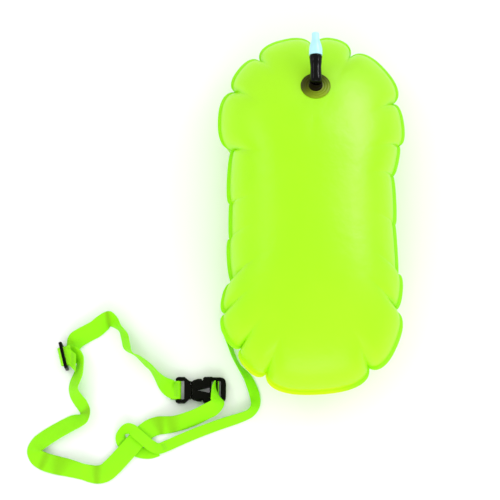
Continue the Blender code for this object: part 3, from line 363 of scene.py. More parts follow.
def make_materials():
    """Every material, by its slot name."""
    return {
        "pvc": film_material("lime_film"),
        "pvc_back": film_material("lime_film_back"),
        "webbing": webbing_material(),
        "thread": thread_material(),
        "olive_pvc": disc_material(),
        "hub_black": rubber_material("olive_black_boot", BOOT_BLACK, 0.35, 0.06),
        "rubber": rubber_material("gloss_rubber", STEM_BLACK, 0.15, 0.09),
        "mouthpiece_plastic": plastic_material("pale_blue_plastic", PALE_BLUE, 0.34, 0.3),
        "seal_rubber": rubber_material("seal_rubber", SEAL_BLACK, 0.5, 0.25),
        "black_plastic": plastic_material("black_acetal", BUCKLE_BLACK, 0.36, 0.05),
    }


MATERIALS = make_materials()

# Mesh helpers

SHARP_ANGLE = radians(40.0)
SOFT_ANGLE = radians(50.0)
BAND_ANGLE = radians(60.0)
WELD_DISTANCE = 1e-6
MM = 0.001


def new_piece(name, shape, slot, sharp=SHARP_ANGLE):
    """Object from a bmesh in its slot's material, smooth but for its sharp edges."""
    bmesh.ops.recalc_face_normals(shape, faces=shape.faces)
    if shape.calc_volume(signed=True) < 0:
        bmesh.ops.reverse_faces(shape, faces=shape.faces)
    mesh = bpy.data.meshes.new(name)
    shape.to_mesh(mesh)
    shape.free()
    for polygon in mesh.polygons:
        polygon.use_smooth = True
    mesh.set_sharp_from_angle(angle=sharp)
    mesh.materials.append(MATERIALS[slot])
    return new_object(name, mesh)


def place_piece(piece, node, body):
    """Let a piece stand for a node and on its body."""
    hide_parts(node)
    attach(piece, body)


def store(piece, name, values):
    """Keep one number for each point of a mesh."""
    attribute = piece.data.attributes.new(name, "FLOAT", "POINT")
    attribute.data.foreach_set("value", values)


def frame_at(place, z_axis, x_axis=(1, 0, 0)):
    """Frame at a place, with its Z axis along z_axis and its X axis near x_axis."""
    z = Vector(z_axis).normalized()
    x = (Vector(x_axis) - z * z.dot(x_axis)).normalized()
    y = z.cross(x)
    return Matrix.Translation(place) @ Matrix((x, y, z)).transposed().to_4x4()


def bridge(shape, rings):
    """Quads between neighbouring rings."""
    count = len(rings[0])
    for first, second in zip(rings, rings[1:]):
        for k in range(count):
            m = (k + 1) % count
            shape.faces.new((first[k], first[m], second[m], second[k]))


def bridge_capped(shape, rings):
    """Quads between neighbouring rings, and a cap at either end."""
    bridge(shape, rings)
    shape.faces.new(rings[0][::-1])
    shape.faces.new(rings[-1])


def circle(radius, height, count):
    """Points of a circle about the Z axis."""
    angles = [2 * pi * k / count for k in range(count)]
    return [Vector((radius * cos(angle), radius * sin(angle), height)) for angle in angles]


def turned(profile, place, segments=64, hollow=False):
    """Turn a profile about a frame's Z axis: with capped ends, or hollow as one closed ring."""
    shape = bmesh.new()
    rings = []
    for radius, height in [*profile, profile[0]] if hollow else profile:
        spots = circle(radius * MM, height * MM, segments)
        rings.append([shape.verts.new(place @ spot) for spot in spots])
    if hollow:
        bridge(shape, rings)
    else:
        bridge_capped(shape, rings)
    bmesh.ops.remove_doubles(shape, verts=shape.verts, dist=WELD_DISTANCE)
    return shape


def carve(piece, cutter, operation="DIFFERENCE"):
    """Cut or join a piece with another, which is used up."""
    change = piece.modifiers.new("carve", "BOOLEAN")
    change.operation = operation
    change.solver = "EXACT"
    change.object = cutter
    bpy.context.view_layer.update()
    graph = bpy.context.evaluated_depsgraph_get()
    mesh = bpy.data.meshes.new_from_object(piece.evaluated_get(graph))
    piece.modifiers.remove(change)
    piece.data = mesh
    bpy.data.objects.remove(cutter)
    mesh.set_sharp_from_angle(angle=SHARP_ANGLE)


# Webbing

WEB_THICKNESS = 0.0015
BELT_WIDTH = 0.025
TETHER_WIDTH = 0.015
STATION_STEP = 0.0016
# Reach of the painted shade at the band's right edge, as a share of its reach at the left one
SHADE_NARROW_SHARE = 0.35
# Bars of the buckle halves, the webbing's turns round them, and the length sewn back at the prong half
SEAT_GAP = 0.0003
PRONG_BAR = Vector((-0.1825, -0.2287, 0.0058))
PRONG_BAR_RADIUS = 0.0020
PRONG_TURN = PRONG_BAR_RADIUS + SEAT_GAP + WEB_THICKNESS / 2
SOCKET_BAR = Vector((-0.1305, -0.2287, 0.0045))
SOCKET_BAR_RADIUS = 0.0016
SOCKET_TURN = SOCKET_BAR_RADIUS + SEAT_GAP + WEB_THICKNESS / 2
SEWN_LENGTH = 0.011
# Painted shade of a band, at its creases and on stretches turned from the light: place, reach along it
# and strength
PAINTED_SHADES = {
    "belt_front": ((-0.2805, -0.1300, 0.0090, 0.0062, 0.85),),
    "belt_main": (
        (-0.3640, -0.3258, 0.0058, 0.0095, 0.75), (-0.3420, -0.3318, 0.0046, 0.0220, 0.60),
        (-0.2920, -0.3438, 0.0058, 0.0100, 0.75), (-0.3090, -0.2600, 0.0112, 0.0062, 0.85),
        (-0.2070, -0.2772, 0.0060, 0.0120, 0.75), (-0.1900, -0.2760, 0.0088, 0.0160, 0.65),
    ),
}

FRONT_ROUTE = (
    (-0.1948, -0.2258, 0.0100, -24), (-0.2045, -0.2190, 0.0116, -54), (-0.2117, -0.2102, 0.0128, -71),
    (-0.2201, -0.1990, 0.0134, -80), (-0.2270, -0.1930, 0.0134, -81), (-0.2368, -0.1846, 0.0134, -88),
    (-0.2447, -0.1796, 0.0133, -96), (-0.2536, -0.1684, 0.0124, -68), (-0.2571, -0.1557, 0.0122, -66),
    (-0.2637, -0.1435, 0.0131, -79), (-0.2715, -0.1345, 0.0118, -62), (-0.2788, -0.1296, 0.0092, -42),
    (-0.2878, -0.1350, 0.0078, -33), (-0.2978, -0.1434, 0.0071, -29), (-0.3095, -0.1500, 0.0073, -30),
)
SLIDER_TWIST = ((-0.3225, -0.1580, 0.0074, 305, -24), (-0.3312, -0.1678, 0.0058, 292, -8))
SLIDER_EXIT = ((-0.3214, -0.1822, 0.0108, 88, 30), (-0.3178, -0.1890, 0.0121, 42, 54))
MAIN_ROUTE = (
    (-0.3179, -0.1990, 0.0122, 60), (-0.3199, -0.2079, 0.0116, 54), (-0.3234, -0.2169, 0.0112, 52),
    (-0.3257, -0.2259, 0.0116, 56), (-0.3242, -0.2342, 0.0116, 57), (-0.3190, -0.2424, 0.0112, 53),
    (-0.3127, -0.2506, 0.0108, 52), (-0.3087, -0.2593, 0.0112, 54), (-0.3112, -0.2676, 0.0102, 46),
    (-0.3205, -0.2718, 0.0078, 32), (-0.3287, -0.2750, 0.0066, 27), (-0.3475, -0.2854, 0.0062, 24),
    (-0.3615, -0.2943, 0.0060, 22), (-0.3713, -0.3023, 0.0066, 24), (-0.3762, -0.3115, 0.0076, 30),
    (-0.3726, -0.3203, 0.0074, 28), (-0.3632, -0.3260, 0.0056, 18), (-0.3500, -0.3300, 0.0039, 8),
    (-0.3304, -0.3347, 0.0062, 24), (-0.3111, -0.3401, 0.0093, 37), (-0.2991, -0.3430, 0.0074, 27),
    (-0.2898, -0.3438, 0.0056, 18), (-0.2811, -0.3416, 0.0050, 12), (-0.2738, -0.3362, 0.0052, 8),
    (-0.2632, -0.3254, 0.0056, 3), (-0.2500, -0.3105, 0.0056, 0), (-0.2394, -0.2983, 0.0056, 0),
    (-0.2300, -0.2887, 0.0054, 0), (-0.2206, -0.2814, 0.0054, 12), (-0.2098, -0.2774, 0.0054, 14),
    (-0.1988, -0.2767, 0.0072, 27), (-0.1865, -0.2754, 0.0094, 38), (-0.1716, -0.2711, 0.0099, 40),
    (-0.1567, -0.2654, 0.0108, 42), (-0.1444, -0.2596, 0.0138, 42), (-0.1335, -0.2545, 0.0182, 42),
)
SOCKET_TWIST = (
    (-0.1292, -0.2480, 0.0210, 158, 42), (-0.1285, -0.2400, 0.0212, 146, 36),
    (-0.1297, -0.2335, 0.0182, 118, 20), (-0.1318, -0.2289, 0.0128, 92, 3),
)
TETHER_ROUTE = (
    (-0.1075, -0.1225, 0.0060, -14), (-0.1172, -0.1325, 0.0070, -34), (-0.1202, -0.1425, 0.0078, -52),
    (-0.1172, -0.1530, 0.0082, -62), (-0.1126, -0.1659, 0.0084, -66), (-0.1066, -0.1827, 0.0084, -68),
    (-0.0998, -0.1955, 0.0084, -66), (-0.0893, -0.2091, 0.0068, -42), (-0.0826, -0.2227, 0.0054, -26),
    (-0.0779, -0.2378, 0.0048, -20), (-0.0776, -0.2500, 0.0064, -38), (-0.0833, -0.2596, 0.0072, -48),
    (-0.0935, -0.2650, 0.0068, -44), (-0.1092, -0.2702, 0.0056, -32), (-0.1241, -0.2750, 0.0050, -28),
    (-0.1520, -0.2852, 0.0046, -24), (-0.1797, -0.2967, 0.0042, -18), (-0.1987, -0.3050, 0.0032, -2),
    (-0.2095, -0.3082, 0.0032, 0), (-0.2196, -0.3040, 0.0076, 0), (-0.2290, -0.2966, 0.0088, 0),
    (-0.2375, -0.2893, 0.0088, 0), (-0.2440, -0.2838, 0.0090, -2), (-0.2510, -0.2818, 0.0092, -24),
    (-0.2580, -0.2860, 0.0078, -52), (-0.2602, -0.2945, 0.0040, -20), (-0.2560, -0.3030, 0.0014, -2),
    (-0.2450, -0.3090, 0.0012, 0), (-0.2350, -0.3130, 0.0012, 0), (-0.2260, -0.3145, 0.0012, 0),
    (-0.2180, -0.3140, 0.0012, 0), (-0.2095, -0.3110, 0.0012, 0),
)


def width_vector(heading, tilt):
    """Unit vector across a webbing from its heading in plan and its tilt."""
    flat = cos(tilt)
    return Vector((cos(heading) * flat, sin(heading) * flat, sin(tilt)))


def route_stations(route):
    """Stations of a route: each has its middle and the unit vector to its left edge."""
    places = [Vector(row[:3]) for row in route]
    stations = []
    for i, row in enumerate(route):
        before = places[max(i - 1, 0)]
        after = places[min(i + 1, len(places) - 1)]
        heading = atan2(after.y - before.y, after.x - before.x) + pi / 2
        stations.append((places[i], width_vector(heading, radians(row[3]))))
    return stations


def twist_stations(route):
    """Stations whose width heading is given."""
    return [
        (Vector((x, y, z)), width_vector(radians(heading), radians(tilt)))
        for x, y, z, heading, tilt in route
    ]


def wrap_stations(centre, radius, forward, across, start, end, steps=8):
    """Stations round a bar: the angle is 0 at forward and 90 degrees straight up."""
    stations = []
    for i in range(steps + 1):
        angle = radians(start + (end - start) * i / steps)
        place = centre + forward * (radius * cos(angle))
        stations.append((place + Vector((0, 0, radius * sin(angle))), across))
    return stations


def curve_between(values, i, share):
    """Catmull-Rom point between values i and i + 1."""
    before = values[max(i - 1, 0)]
    start = values[i]
    end = values[i + 1]
    after = values[min(i + 2, len(values) - 1)]
    return (
        start * 2
        + (end - before) * share
        + (before * 2 - start * 5 + end * 4 - after) * share**2
        + (start * 3 - before - end * 3 + after) * share**3
    ) / 2


def smooth_stations(stations):
    """Closely spaced stations on the smooth curve through the given ones."""
    places = [place for place, _ in stations]
    widths = [width for _, width in stations]
    fine = []
    for i in range(len(stations) - 1):
        count = max(1, round((places[i + 1] - places[i]).length / STATION_STEP))
        for k in range(count):
            share = k / count
            width = curve_between(widths, i, share).normalized()
            fine.append((curve_between(places, i, share), width))
    fine.append(stations[-1])
    return fine


# The slider: its middle bar, the belt's way through it, and the turns of the inner and outer ply
SLIDER_MIDDLE = Vector((-0.3400, -0.1828, 0.0123))
SLIDER_TURN = radians(14.5)
SLIDER_THROUGH = Vector((cos(SLIDER_TURN), sin(SLIDER_TURN), 0))
SLIDER_ALONG = Vector((sin(SLIDER_TURN), -cos(SLIDER_TURN), 0))
SLIDER_BAR = 0.003
SLIDER_THICKNESS = 0.0046
INNER_TURN = hypot(SLIDER_BAR, SLIDER_THICKNESS) / 2 + SEAT_GAP + WEB_THICKNESS / 2
OUTER_TURN = INNER_TURN + WEB_THICKNESS + SEAT_GAP
TAIL_LENGTH = 0.018
TAIL_DRIFT = 0.0155
TAIL_CURL = 1.6
TAIL_SHARES = (0.2, 0.4, 0.7, 1.0)
SEWN_TAIL_SHARES = (0.65, 0.28)
EXIT_SHARES = ((0.47, 1.0), (0.75, 0.75))

# The anchor on the back film: its place, the film's outward normal and the way the tether leaves
ANCHOR_HEADING = radians(-140.0)
ANCHOR = frame_at(
    (-0.07, -0.09601, 0.01378),
    (-0.44343, -0.01238, -0.89623),
    (cos(ANCHOR_HEADING), sin(ANCHOR_HEADING), 0),
)
# The tether's sewn end and its turn round the anchor's loop
ANCHOR_TURN = (
    (-0.0865, -0.1111, 0.0168), (-0.0764, -0.1014, 0.0136), (-0.0663, -0.0907, 0.0085),
    (-0.0658, -0.0892, 0.0056), (-0.0683, -0.0908, 0.0042), (-0.0785, -0.1014, 0.0094),
    (-0.0878, -0.1111, 0.0141),
)


def slider_spot(share, height):
    """Place on the way through the slider, at a share of the tail's length."""
    return SLIDER_MIDDLE + SLIDER_THROUGH * (TAIL_LENGTH * share) + Vector((0, 0, height))


def tether_stations():
    """From the sewn end, round the anchor loop, to the end loop round the belt."""
    across = ANCHOR.to_3x3() @ Vector((0, 1, 0))
    turn = [(Vector(place), across) for place in ANCHOR_TURN]
    return turn + route_stations(TETHER_ROUTE)


def belt_front_stations():
    """From the end sewn under the prong half's bar, through the slider, to the free tail."""
    forward = Vector((1, 0, 0))
    across = Vector((0, -1, 0))
    under = PRONG_BAR - Vector((0, 0, PRONG_TURN))
    stations = [(under - forward * SEWN_LENGTH, across), (under - forward * PRONG_TURN, across)]
    stations += wrap_stations(PRONG_BAR, PRONG_TURN, forward, across, -90, 90)
    stations.append((PRONG_BAR + Vector((-2 * PRONG_TURN, 0, PRONG_TURN)), across))
    stations += route_stations(FRONT_ROUTE) + twist_stations(SLIDER_TWIST)
    turn = OUTER_TURN
    stations.append((SLIDER_MIDDLE + SLIDER_THROUGH * turn - Vector((0, 0, turn)), SLIDER_ALONG))
    stations += wrap_stations(SLIDER_MIDDLE, turn, -SLIDER_THROUGH, SLIDER_ALONG, -90, 90)
    for share in TAIL_SHARES:
        place = slider_spot(share, turn) - Vector((0, TAIL_DRIFT * share**TAIL_CURL, 0))
        stations.append((place, SLIDER_ALONG.lerp(Vector((0, -1, 0)), share).normalized()))
    return stations


def belt_main_stations():
    """From the end sewn round the slider's middle bar to the end sewn in the socket half."""
    turn = INNER_TURN
    along = -SLIDER_ALONG
    stations = [(slider_spot(share, turn), along) for share in SEWN_TAIL_SHARES]
    stations += wrap_stations(SLIDER_MIDDLE, turn, -SLIDER_THROUGH, along, 90, -90)
    stations += [(slider_spot(share, -turn * drop), along) for share, drop in EXIT_SHARES]
    stations += twist_stations(SLIDER_EXIT) + route_stations(MAIN_ROUTE)
    stations += twist_stations(SOCKET_TWIST)
    forward = Vector((1, 0, 0))
    across = Vector((0, 1, 0))
    stations.append((SOCKET_BAR + Vector((-SOCKET_TURN, 0, SOCKET_TURN)), across))
    stations += wrap_stations(SOCKET_BAR, SOCKET_TURN, forward, across, 180, 360)
    stations.append((SOCKET_BAR + Vector((SOCKET_TURN, 0, SOCKET_TURN)), across))
    return stations


# A band's section, round its edge: shares of its half width and of its thickness
SELVEDGE = ((1.0, 0.15), (0.985, 0.42), (0.93, 0.5), (0.5, 0.5))
LOWER_HALF = [(-u, -n) for u, n in SELVEDGE] + [(0.0, -0.5)] + [(u, -n) for u, n in reversed(SELVEDGE)]
SECTION = LOWER_HALF + [(-u, -n) for u, n in LOWER_HALF]


def painted_shade_value(place, u, painted_shades):
    """How much painted shade a point of a band gets, from its share of the half width."""
    values = [0.0]
    for *spot, reach, strength in painted_shades:
        narrow = SHADE_NARROW_SHARE + (1 - SHADE_NARROW_SHARE) * (u + 1) / 2
        gap = (place - Vector(spot)).length / (reach * narrow)
        values.append(strength * exp(-(gap**2)))
    return max(values)


def webbing_piece(name, stations, width, painted_shades=()):
    """Woven band with rounded selvedges along its stations, with painted shade at its creases."""
    shape = bmesh.new()
    rings = []
    values = {"along": [], "across": [], "painted_shade": []}
    run = 0.0
    for i, (place, across) in enumerate(stations):
        before = stations[max(i - 1, 0)][0]
        after = stations[min(i + 1, len(stations) - 1)][0]
        if i:
            run += (place - before).length
        through = (after - before).normalized().cross(across).normalized()
        ring = []
        for u, n in SECTION:
            spot = place + across * (u * width / 2) + through * (n * WEB_THICKNESS)
            ring.append(shape.verts.new(spot))
            values["along"].append(run)
            values["across"].append(u * width / 2)
            # Painted shade, strongest at the creases
            values["painted_shade"].append(painted_shade_value(place, u, painted_shades))
        rings.append(ring)
    bridge_capped(shape, rings)
    piece = new_piece(name, shape, "webbing", BAND_ANGLE)
    for key, numbers in values.items():
        store(piece, key, numbers)
    return piece


def make_cords():
    """The belt's two strands and the tether; their stations are handed back."""
    strands = {}
    cords = {}
    for name, node, rough, width in (
        ("belt_front", "belt_front_strand", belt_front_stations(), BELT_WIDTH),
        ("belt_main", "belt_main_strand", belt_main_stations(), BELT_WIDTH),
        ("tether", "tether_strap", tether_stations(), TETHER_WIDTH),
    ):
        stations = smooth_stations(rough)
        strands[name] = stations
        piece = webbing_piece(name, stations, width, PAINTED_SHADES.get(name, ()))
        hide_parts(node)
        cords[name] = piece
    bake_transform(cords["belt_front"])
    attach(cords["belt_main"], "buoy")
    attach(cords["tether"], "buoy")
    return strands


# Bladder

HALF_WIDTH = 0.125
HALF_LENGTH = 0.252
RIM_HEIGHT = 0.075
CROWN_RISE = 0.078
SWELL_POWER = 0.53
FILM = 0.0005
WELD = 0.0052
# The crown is a flat spine, a share of the length, and drops a little toward the spine's ends
SPINE_SHARE = 0.4
CROWN_DROP_SHARE = 0.12
CROWN_DROP_POWER = 4
# Near the spine the drop is eased, from this share of itself, over this share of the way out
EASED_SHARE = 0.35
EASED_STRETCH = 0.35
# Least height over the floor, and how softly the back film turns flat there
FLOOR_GAP = 0.0004
FLOOR_TURN = 0.003
# Rings of the film, crowded and puckered toward the rim, and how the innermost are smoothed
RING_COUNT = 40
RING_CROWDING = 1.9
PUCKER_POWER = 7
WELD_SHARES = (0.92, 0.6, 0.3, 0.04)
CROWN_RINGS = 9
CROWN_ROUNDS = 14
# Lobes of the rim: fineness, roundness, the bulge of a full pucker, and the reach of both ironings
LOBE_STEP = 0.0032
LOBE_POWER = 2.4
FULL_BULGE_SHARE = 0.2
FIRST_IRON = 0.045
SECOND_IRON = 0.030
# Creases that run in from the puckers
CREASE_DEPTH_SHARE = 0.27
CREASE_WIDTH = 0.0022
CREASE_SPREAD = 0.22
CREASE_REACH = 0.055
CREASE_FADE = 0.013
# Puckers of the rim, clockwise from the valve end: place, and bulge of the lobe that follows
PUCKERS = (
    (0.029, 0.970, 0.170), (0.448, 0.917, 0.202), (0.914, 0.638, 0.090), (0.966, 0.398, 0.034),
    (0.890, 0.223, 0.026), (0.904, -0.053, 0.010), (0.924, -0.326, 0.068), (0.875, -0.525, 0.178),
    (0.592, -0.842, 0.246), (-0.514, -0.875, 0.112), (-0.773, -0.733, 0.110), (-0.947, -0.546, 0.078),
    (-0.868, -0.377, 0.044), (-0.904, -0.132, 0.012), (-0.903, 0.065, 0.046), (-0.869, 0.374, 0.178),
    (-0.846, 0.709, 0.132), (-0.571, 0.893, 0.182),
)


def rim_points():
    """Points of the rim: place, distance to the nearest pucker, that pucker's strength, run."""
    rows = []
    run = 0.0
    count = len(PUCKERS)
    for k, (across, along, bulge) in enumerate(PUCKERS):
        following = PUCKERS[(k + 1) % count]
        start = Vector((across * HALF_WIDTH, along * HALF_LENGTH))
        end = Vector((following[0] * HALF_WIDTH, following[1] * HALF_LENGTH))
        chord = end - start
        outward = Vector((-chord.y, chord.x)).normalized()
        here = min(1.0, (PUCKERS[k - 1][2] + bulge) / FULL_BULGE_SHARE)
        there = min(1.0, (bulge + following[2]) / FULL_BULGE_SHARE)
        steps = max(8, round(chord.length / LOBE_STEP))
        for i in range(steps):
            share = (1 - cos(pi * i / steps)) / 2
            swell = (1 - abs(2 * share - 1) ** LOBE_POWER) ** (1 / LOBE_POWER)
            place = start + chord * share + outward * (bulge * HALF_WIDTH * swell)
            if rows:
                run += (place - rows[-1][0]).length
            near = min(share, 1 - share) * chord.length
            rows.append((place, near, here if share < 0.5 else there, run))
    return rows


def ironed(places, reach):
    """The rim with its puckers ironed out, by a weighted mean along it."""
    count = len(places)
    lengths = [(places[(i + 1) % count] - places[i]).length for i in range(count)]
    smooth = []
    for i in range(count):
        total = places[i] * lengths[i]
        weight = lengths[i]
        for step in (1, -1):
            run = 0.0
            j = i
            while run < 2 * reach:
                run += lengths[j] if step == 1 else lengths[j - 1]
                j = (j + step) % count
                share = exp(-((run / reach) ** 2)) * lengths[j]
                total = total + places[j] * share
                weight += share
        smooth.append(total / weight)
    return smooth


def soft_floor(height):
    """Height kept above the floor, with a soft turn."""
    over = height - FLOOR_GAP
    if over > 8 * FLOOR_TURN:
        return height
    return FLOOR_GAP + FLOOR_TURN * log1p(exp(over / FLOOR_TURN))


def crown_height(y, share):
    """Rise of the crown: the drop toward the spine's ends is eased near the spine itself."""
    ease = min(share / EASED_STRETCH, 1.0)
    ease = EASED_SHARE + (1 - EASED_SHARE) * ease * ease * (3 - 2 * ease)
    drop = (y / (SPINE_SHARE * HALF_LENGTH)) ** CROWN_DROP_POWER
    return CROWN_RISE * (1 - CROWN_DROP_SHARE * ease * drop)


def crease_value(inward, near, strength):
    """Depth of the crease at a distance in from the weld and beside its pucker."""
    width = CREASE_WIDTH + CREASE_SPREAD * inward
    fade = max(1 - (inward / CREASE_REACH) ** 2, 0.0) ** 2 * exp(-inward / CREASE_FADE)
    return strength * fade * exp(-((near / width) ** 2))


def film_rings(side):
    """Rings from the crown out to the rim: (x, y, z, inward, along) for every point."""
    rows = rim_points()
    smooth = ironed(ironed([row[0] for row in rows], FIRST_IRON), SECOND_IRON)
    rings = []
    for j in range(1, RING_COUNT + 1):
        share = 1 - (1 - j / RING_COUNT) ** RING_CROWDING
        ring = []
        for (place, near, strength, run), even in zip(rows, smooth):
            centre = Vector((0, SPINE_SHARE * even.y))
            edge = place - (place - centre).normalized() * WELD
            flat = centre + (even - centre) * share + (edge - even) * share**PUCKER_POWER
            inward = (edge - flat).length
            height = crown_height(centre.y, share) * max(1 - share**2, 0.0) ** SWELL_POWER
            height *= 1 - CREASE_DEPTH_SHARE * crease_value(inward, near, strength)
            z = RIM_HEIGHT + side * (FILM + height)
            ring.append((flat.x, flat.y, z if side > 0 else soft_floor(z), WELD + inward, run))
        rings.append(ring)
    for step in WELD_SHARES:
        ring = []
        for place, _, _, run in rows:
            centre = Vector((0, SPINE_SHARE * place.y))
            flat = place - (place - centre).normalized() * (WELD * step)
            ring.append((flat.x, flat.y, RIM_HEIGHT + side * FILM, WELD * step, run))
        rings.append(ring)
    return rings


def zip_crown(shape, ring):
    """Close the crown with a strip of triangles between its two sides."""
    count = len(ring)
    low = min(range(count), key=lambda k: ring[k].co.y)
    high = max(range(count), key=lambda k: ring[k].co.y)
    right = [ring[(high + k) % count] for k in range((low - high) % count + 1)]
    left = [ring[(high - k) % count] for k in range((high - low) % count + 1)]
    i = j = 0
    while i < len(right) - 1 or j < len(left) - 1:
        left_done = j == len(left) - 1
        if left_done or (i < len(right) - 1 and right[i + 1].co.y > left[j + 1].co.y):
            corners = [right[i], right[i + 1], left[j]]
            i += 1
        else:
            corners = [right[i], left[j + 1], left[j]]
            j += 1
        if len(set(corners)) == 3:
            shape.faces.new(corners)


def film_piece(name, side, node, slot):
    """One inflated half with its flat weld."""
    rings = film_rings(side)
    shape = bmesh.new()
    grid = [[shape.verts.new(row[:3]) for row in ring] for ring in rings]
    low_edge = [shape.verts.new((v.co.x, v.co.y, RIM_HEIGHT)) for v in grid[-1]]
    bridge(shape, grid + [low_edge])
    zip_crown(shape, grid[0])
    crown = [vertex for ring in grid[:CROWN_RINGS] for vertex in ring]
    for _ in range(CROWN_ROUNDS):
        bmesh.ops.smooth_vert(shape, verts=crown, factor=0.5, use_axis_z=True)
    piece = new_piece(name, shape, slot, SOFT_ANGLE)
    store(piece, "inward", [row[3] for ring in rings for row in ring] + [0.0] * len(low_edge))
    store(piece, "along", [row[4] for ring in rings + rings[-1:] for row in ring])
    place_piece(piece, node, "buoy")
    return piece


def make_bladder():
    """Front and back of the bladder."""
    front = film_piece("bladder_front", 1, "front_panel", "pvc")
    return front, film_piece("bladder_back", -1, "back_panel", "pvc_back")


# Valve

# Frame on the front film: its place and the film's normal
VALVE = frame_at((0.004, 0.16405, 0.1365), (0.00409, 0.22639, 0.97403))
HUB_LEAN = radians(10.0)
HUB_AXIS = VALVE.to_3x3() @ Vector((0, sin(HUB_LEAN), cos(HUB_LEAN)))
BALL_RISE = 0.014
BALL = VALVE.translation + HUB_AXIS * BALL_RISE
STEM_LEAN = radians(2.0)
STEM_AXIS = Vector((0.0, cos(STEM_LEAN), sin(STEM_LEAN)))
STEM = frame_at(BALL, STEM_AXIS)
MOUTH_RISE = 0.0338
MOUTH = frame_at(BALL + STEM_AXIS * MOUTH_RISE, STEM_AXIS)
FLAT_ON_DISC = 0.0019

# Turned profiles: radius and height of each point in millimetres
BOOT_PROFILE = (
    (0, -12), (11.2, -12), (10.6, -4), (9.7, 1), (9.3, 3.4), (9.1, 4.2), (8.4, 4.7), (8.3, 5.2),
    (8.4, 7.6), (8.6, 8.6), (8.4, 9.3), (8, 9.6), (7.4, 9.2), (6.6, 8.6), (4.8, 6.9), (0, 5.4),
)
BED_PROFILE = ((0, 0), (8.3, 0), (8.3, 20), (0, 20))
BALL_PROFILE = (
    (0, -5.8), (3.4, -5.7), (5.2, -5.3), (6.5, -4.5), (7.3, -3.3), (7.8, -1.6), (8, 0),
)
TUBE_PROFILE = (
    (7.9, 4), (7.7, 7.5), (7.5, 12), (7.4, 16.5), (7.6, 20.5), (8, 23.5), (8.2, 26.5), (8.5, 29.5),
    (8.8, 31.2),
)
TUBE_END = ((8.5, 31.7), (6, 31.7), (5.4, 31.5), (5.4, 20.5), (0, 20.5))
COLLAR_PROFILE = ((4.6, 0), (8.6, 0), (9.1, 0.4), (9.25, 1), (9.2, 1.7), (8.8, 2), (8.8, 2.3), (9.1, 2.6))
CAP_PROFILE = (
    (9.1, 3), (9.05, 6), (8.8, 9.5), (8.3, 12.5), (7.5, 15.7), (6.4, 19), (5.5, 22), (5.1, 25),
    (5, 28.5), (5, 30),
)
CAP_END = ((4.8, 31.3), (4.2, 31.8), (2.4, 31.8), (1.9, 31.4), (1.8, 25), (4.6, 16))
DISC_PROFILE = (
    (6.6, 0.3), (6.7, 1), (7.4, 1.2), (10.8, 1.2), (11.2, 0.9), (11.8, 0.9), (12.2, 1.2), (14.2, 1.2),
    (14.6, 0.9), (15.2, 0.9), (15.6, 1.2), (18, 1.2), (18.4, 0.9), (18.9, 0.9), (19.3, 1.2),
    (19.9, 1.1), (20.3, 0.6), (20.3, 0.1),
)
FULL_DISC_PROFILE = ((0.6, 1.2), *DISC_PROFILE[3:])
DISC_SEGMENTS = 72
DISC_LIFT = 0.0003
DISC_THICKNESS = 0.0009
# Height over the disc's frame from which the film below is looked for
CAST_HEIGHT = 0.03


def smooth_profile(points, steps):
    """More points on the smooth curve through a profile of (radius, height) points."""
    values = [Vector(point) for point in points]
    fine = []
    for i in range(len(values) - 1):
        fine += [curve_between(values, i, k / steps) for k in range(steps)]
    return [*fine, values[-1]]


def welded_disc(name, film, place, profile, hole, node, slot):
    """Round disc pressed on the film, with rings from the welding tool."""
    shape = bmesh.new()
    tree = BVHTree.FromObject(film, bpy.context.evaluated_depsgraph_get())
    up = (place.to_3x3() @ Vector((0, 0, 1))).normalized()
    rings = []
    for radius, height in profile:
        ring = []
        for spot in circle(radius * MM, CAST_HEIGHT, DISC_SEGMENTS):
            hit = tree.ray_cast(place @ spot, -up)[0]
            ring.append(shape.verts.new(hit + up * (height * MM + DISC_LIFT)))
        rings.append(ring)
    rings.append([shape.verts.new(v.co - up * DISC_THICKNESS) for v in rings[0]])
    bridge(shape, rings)
    if hole:
        bridge(shape, [rings[-1], rings[0]])
    else:
        shape.faces.new(rings[0])
        shape.faces.new(rings[-1][::-1])
    place_piece(new_piece(name, shape, slot, SOFT_ANGLE), node, "buoy")


def make_boot():
    """Leaning boot with a flat foot on the disc and a round bed for the stem."""
    shape = turned(BOOT_PROFILE, frame_at(VALVE.translation, HUB_AXIS))
    cut = VALVE @ Vector((0, 0, FLAT_ON_DISC))
    up = VALVE.to_3x3() @ Vector((0, 0, 1))
    every = shape.verts[:] + shape.edges[:] + shape.faces[:]
    bmesh.ops.bisect_plane(shape, geom=every, plane_co=cut, plane_no=up, clear_inner=True)
    bmesh.ops.holes_fill(shape, edges=[e for e in shape.edges if e.is_boundary])
    boot = new_piece("valve_boot", shape, "hub_black")
    carve(boot, new_piece("bed", turned(BED_PROFILE, STEM), "hub_black"))
    place_piece(boot, "valve_hub", "buoy")


def make_stem():
    """Glossy stem with a ball at its foot and a bore at its end."""
    profile = [*BALL_PROFILE, *smooth_profile(TUBE_PROFILE, 3), *TUBE_END]
    stem = new_piece("stem_tube", turned(profile, STEM), "rubber")
    place_piece(stem, "valve_stem", "stem")


def make_mouthpiece():
    """Pale mouthpiece with a collar, a waist and an airway."""
    profile = [*COLLAR_PROFILE, *smooth_profile(CAP_PROFILE, 4), *CAP_END]
    mouth = new_piece("mouth_cap", turned(profile, MOUTH, hollow=True), "mouthpiece_plastic")
    place_piece(mouth, "mouthpiece", "mouth")


def make_valve(film):
    """Welded disc, boot, stem and mouthpiece."""
    welded_disc("valve_disc", film, VALVE, DISC_PROFILE, True, "valve_patch", "olive_pvc")
    make_boot()
    make_stem()
    make_mouthpiece()


# Anchor, buckle and slider

# Half of the anchor's webbing loop: distance from its middle and height over the film
ANCHOR_BAND = ((0.0182, 0.00275), (0.0153, 0.00275), (0.0112, 0.0042), (0.0088, 0.00565))
# Most of a side that one rounded corner may use up
CORNER_SHARE = 0.49


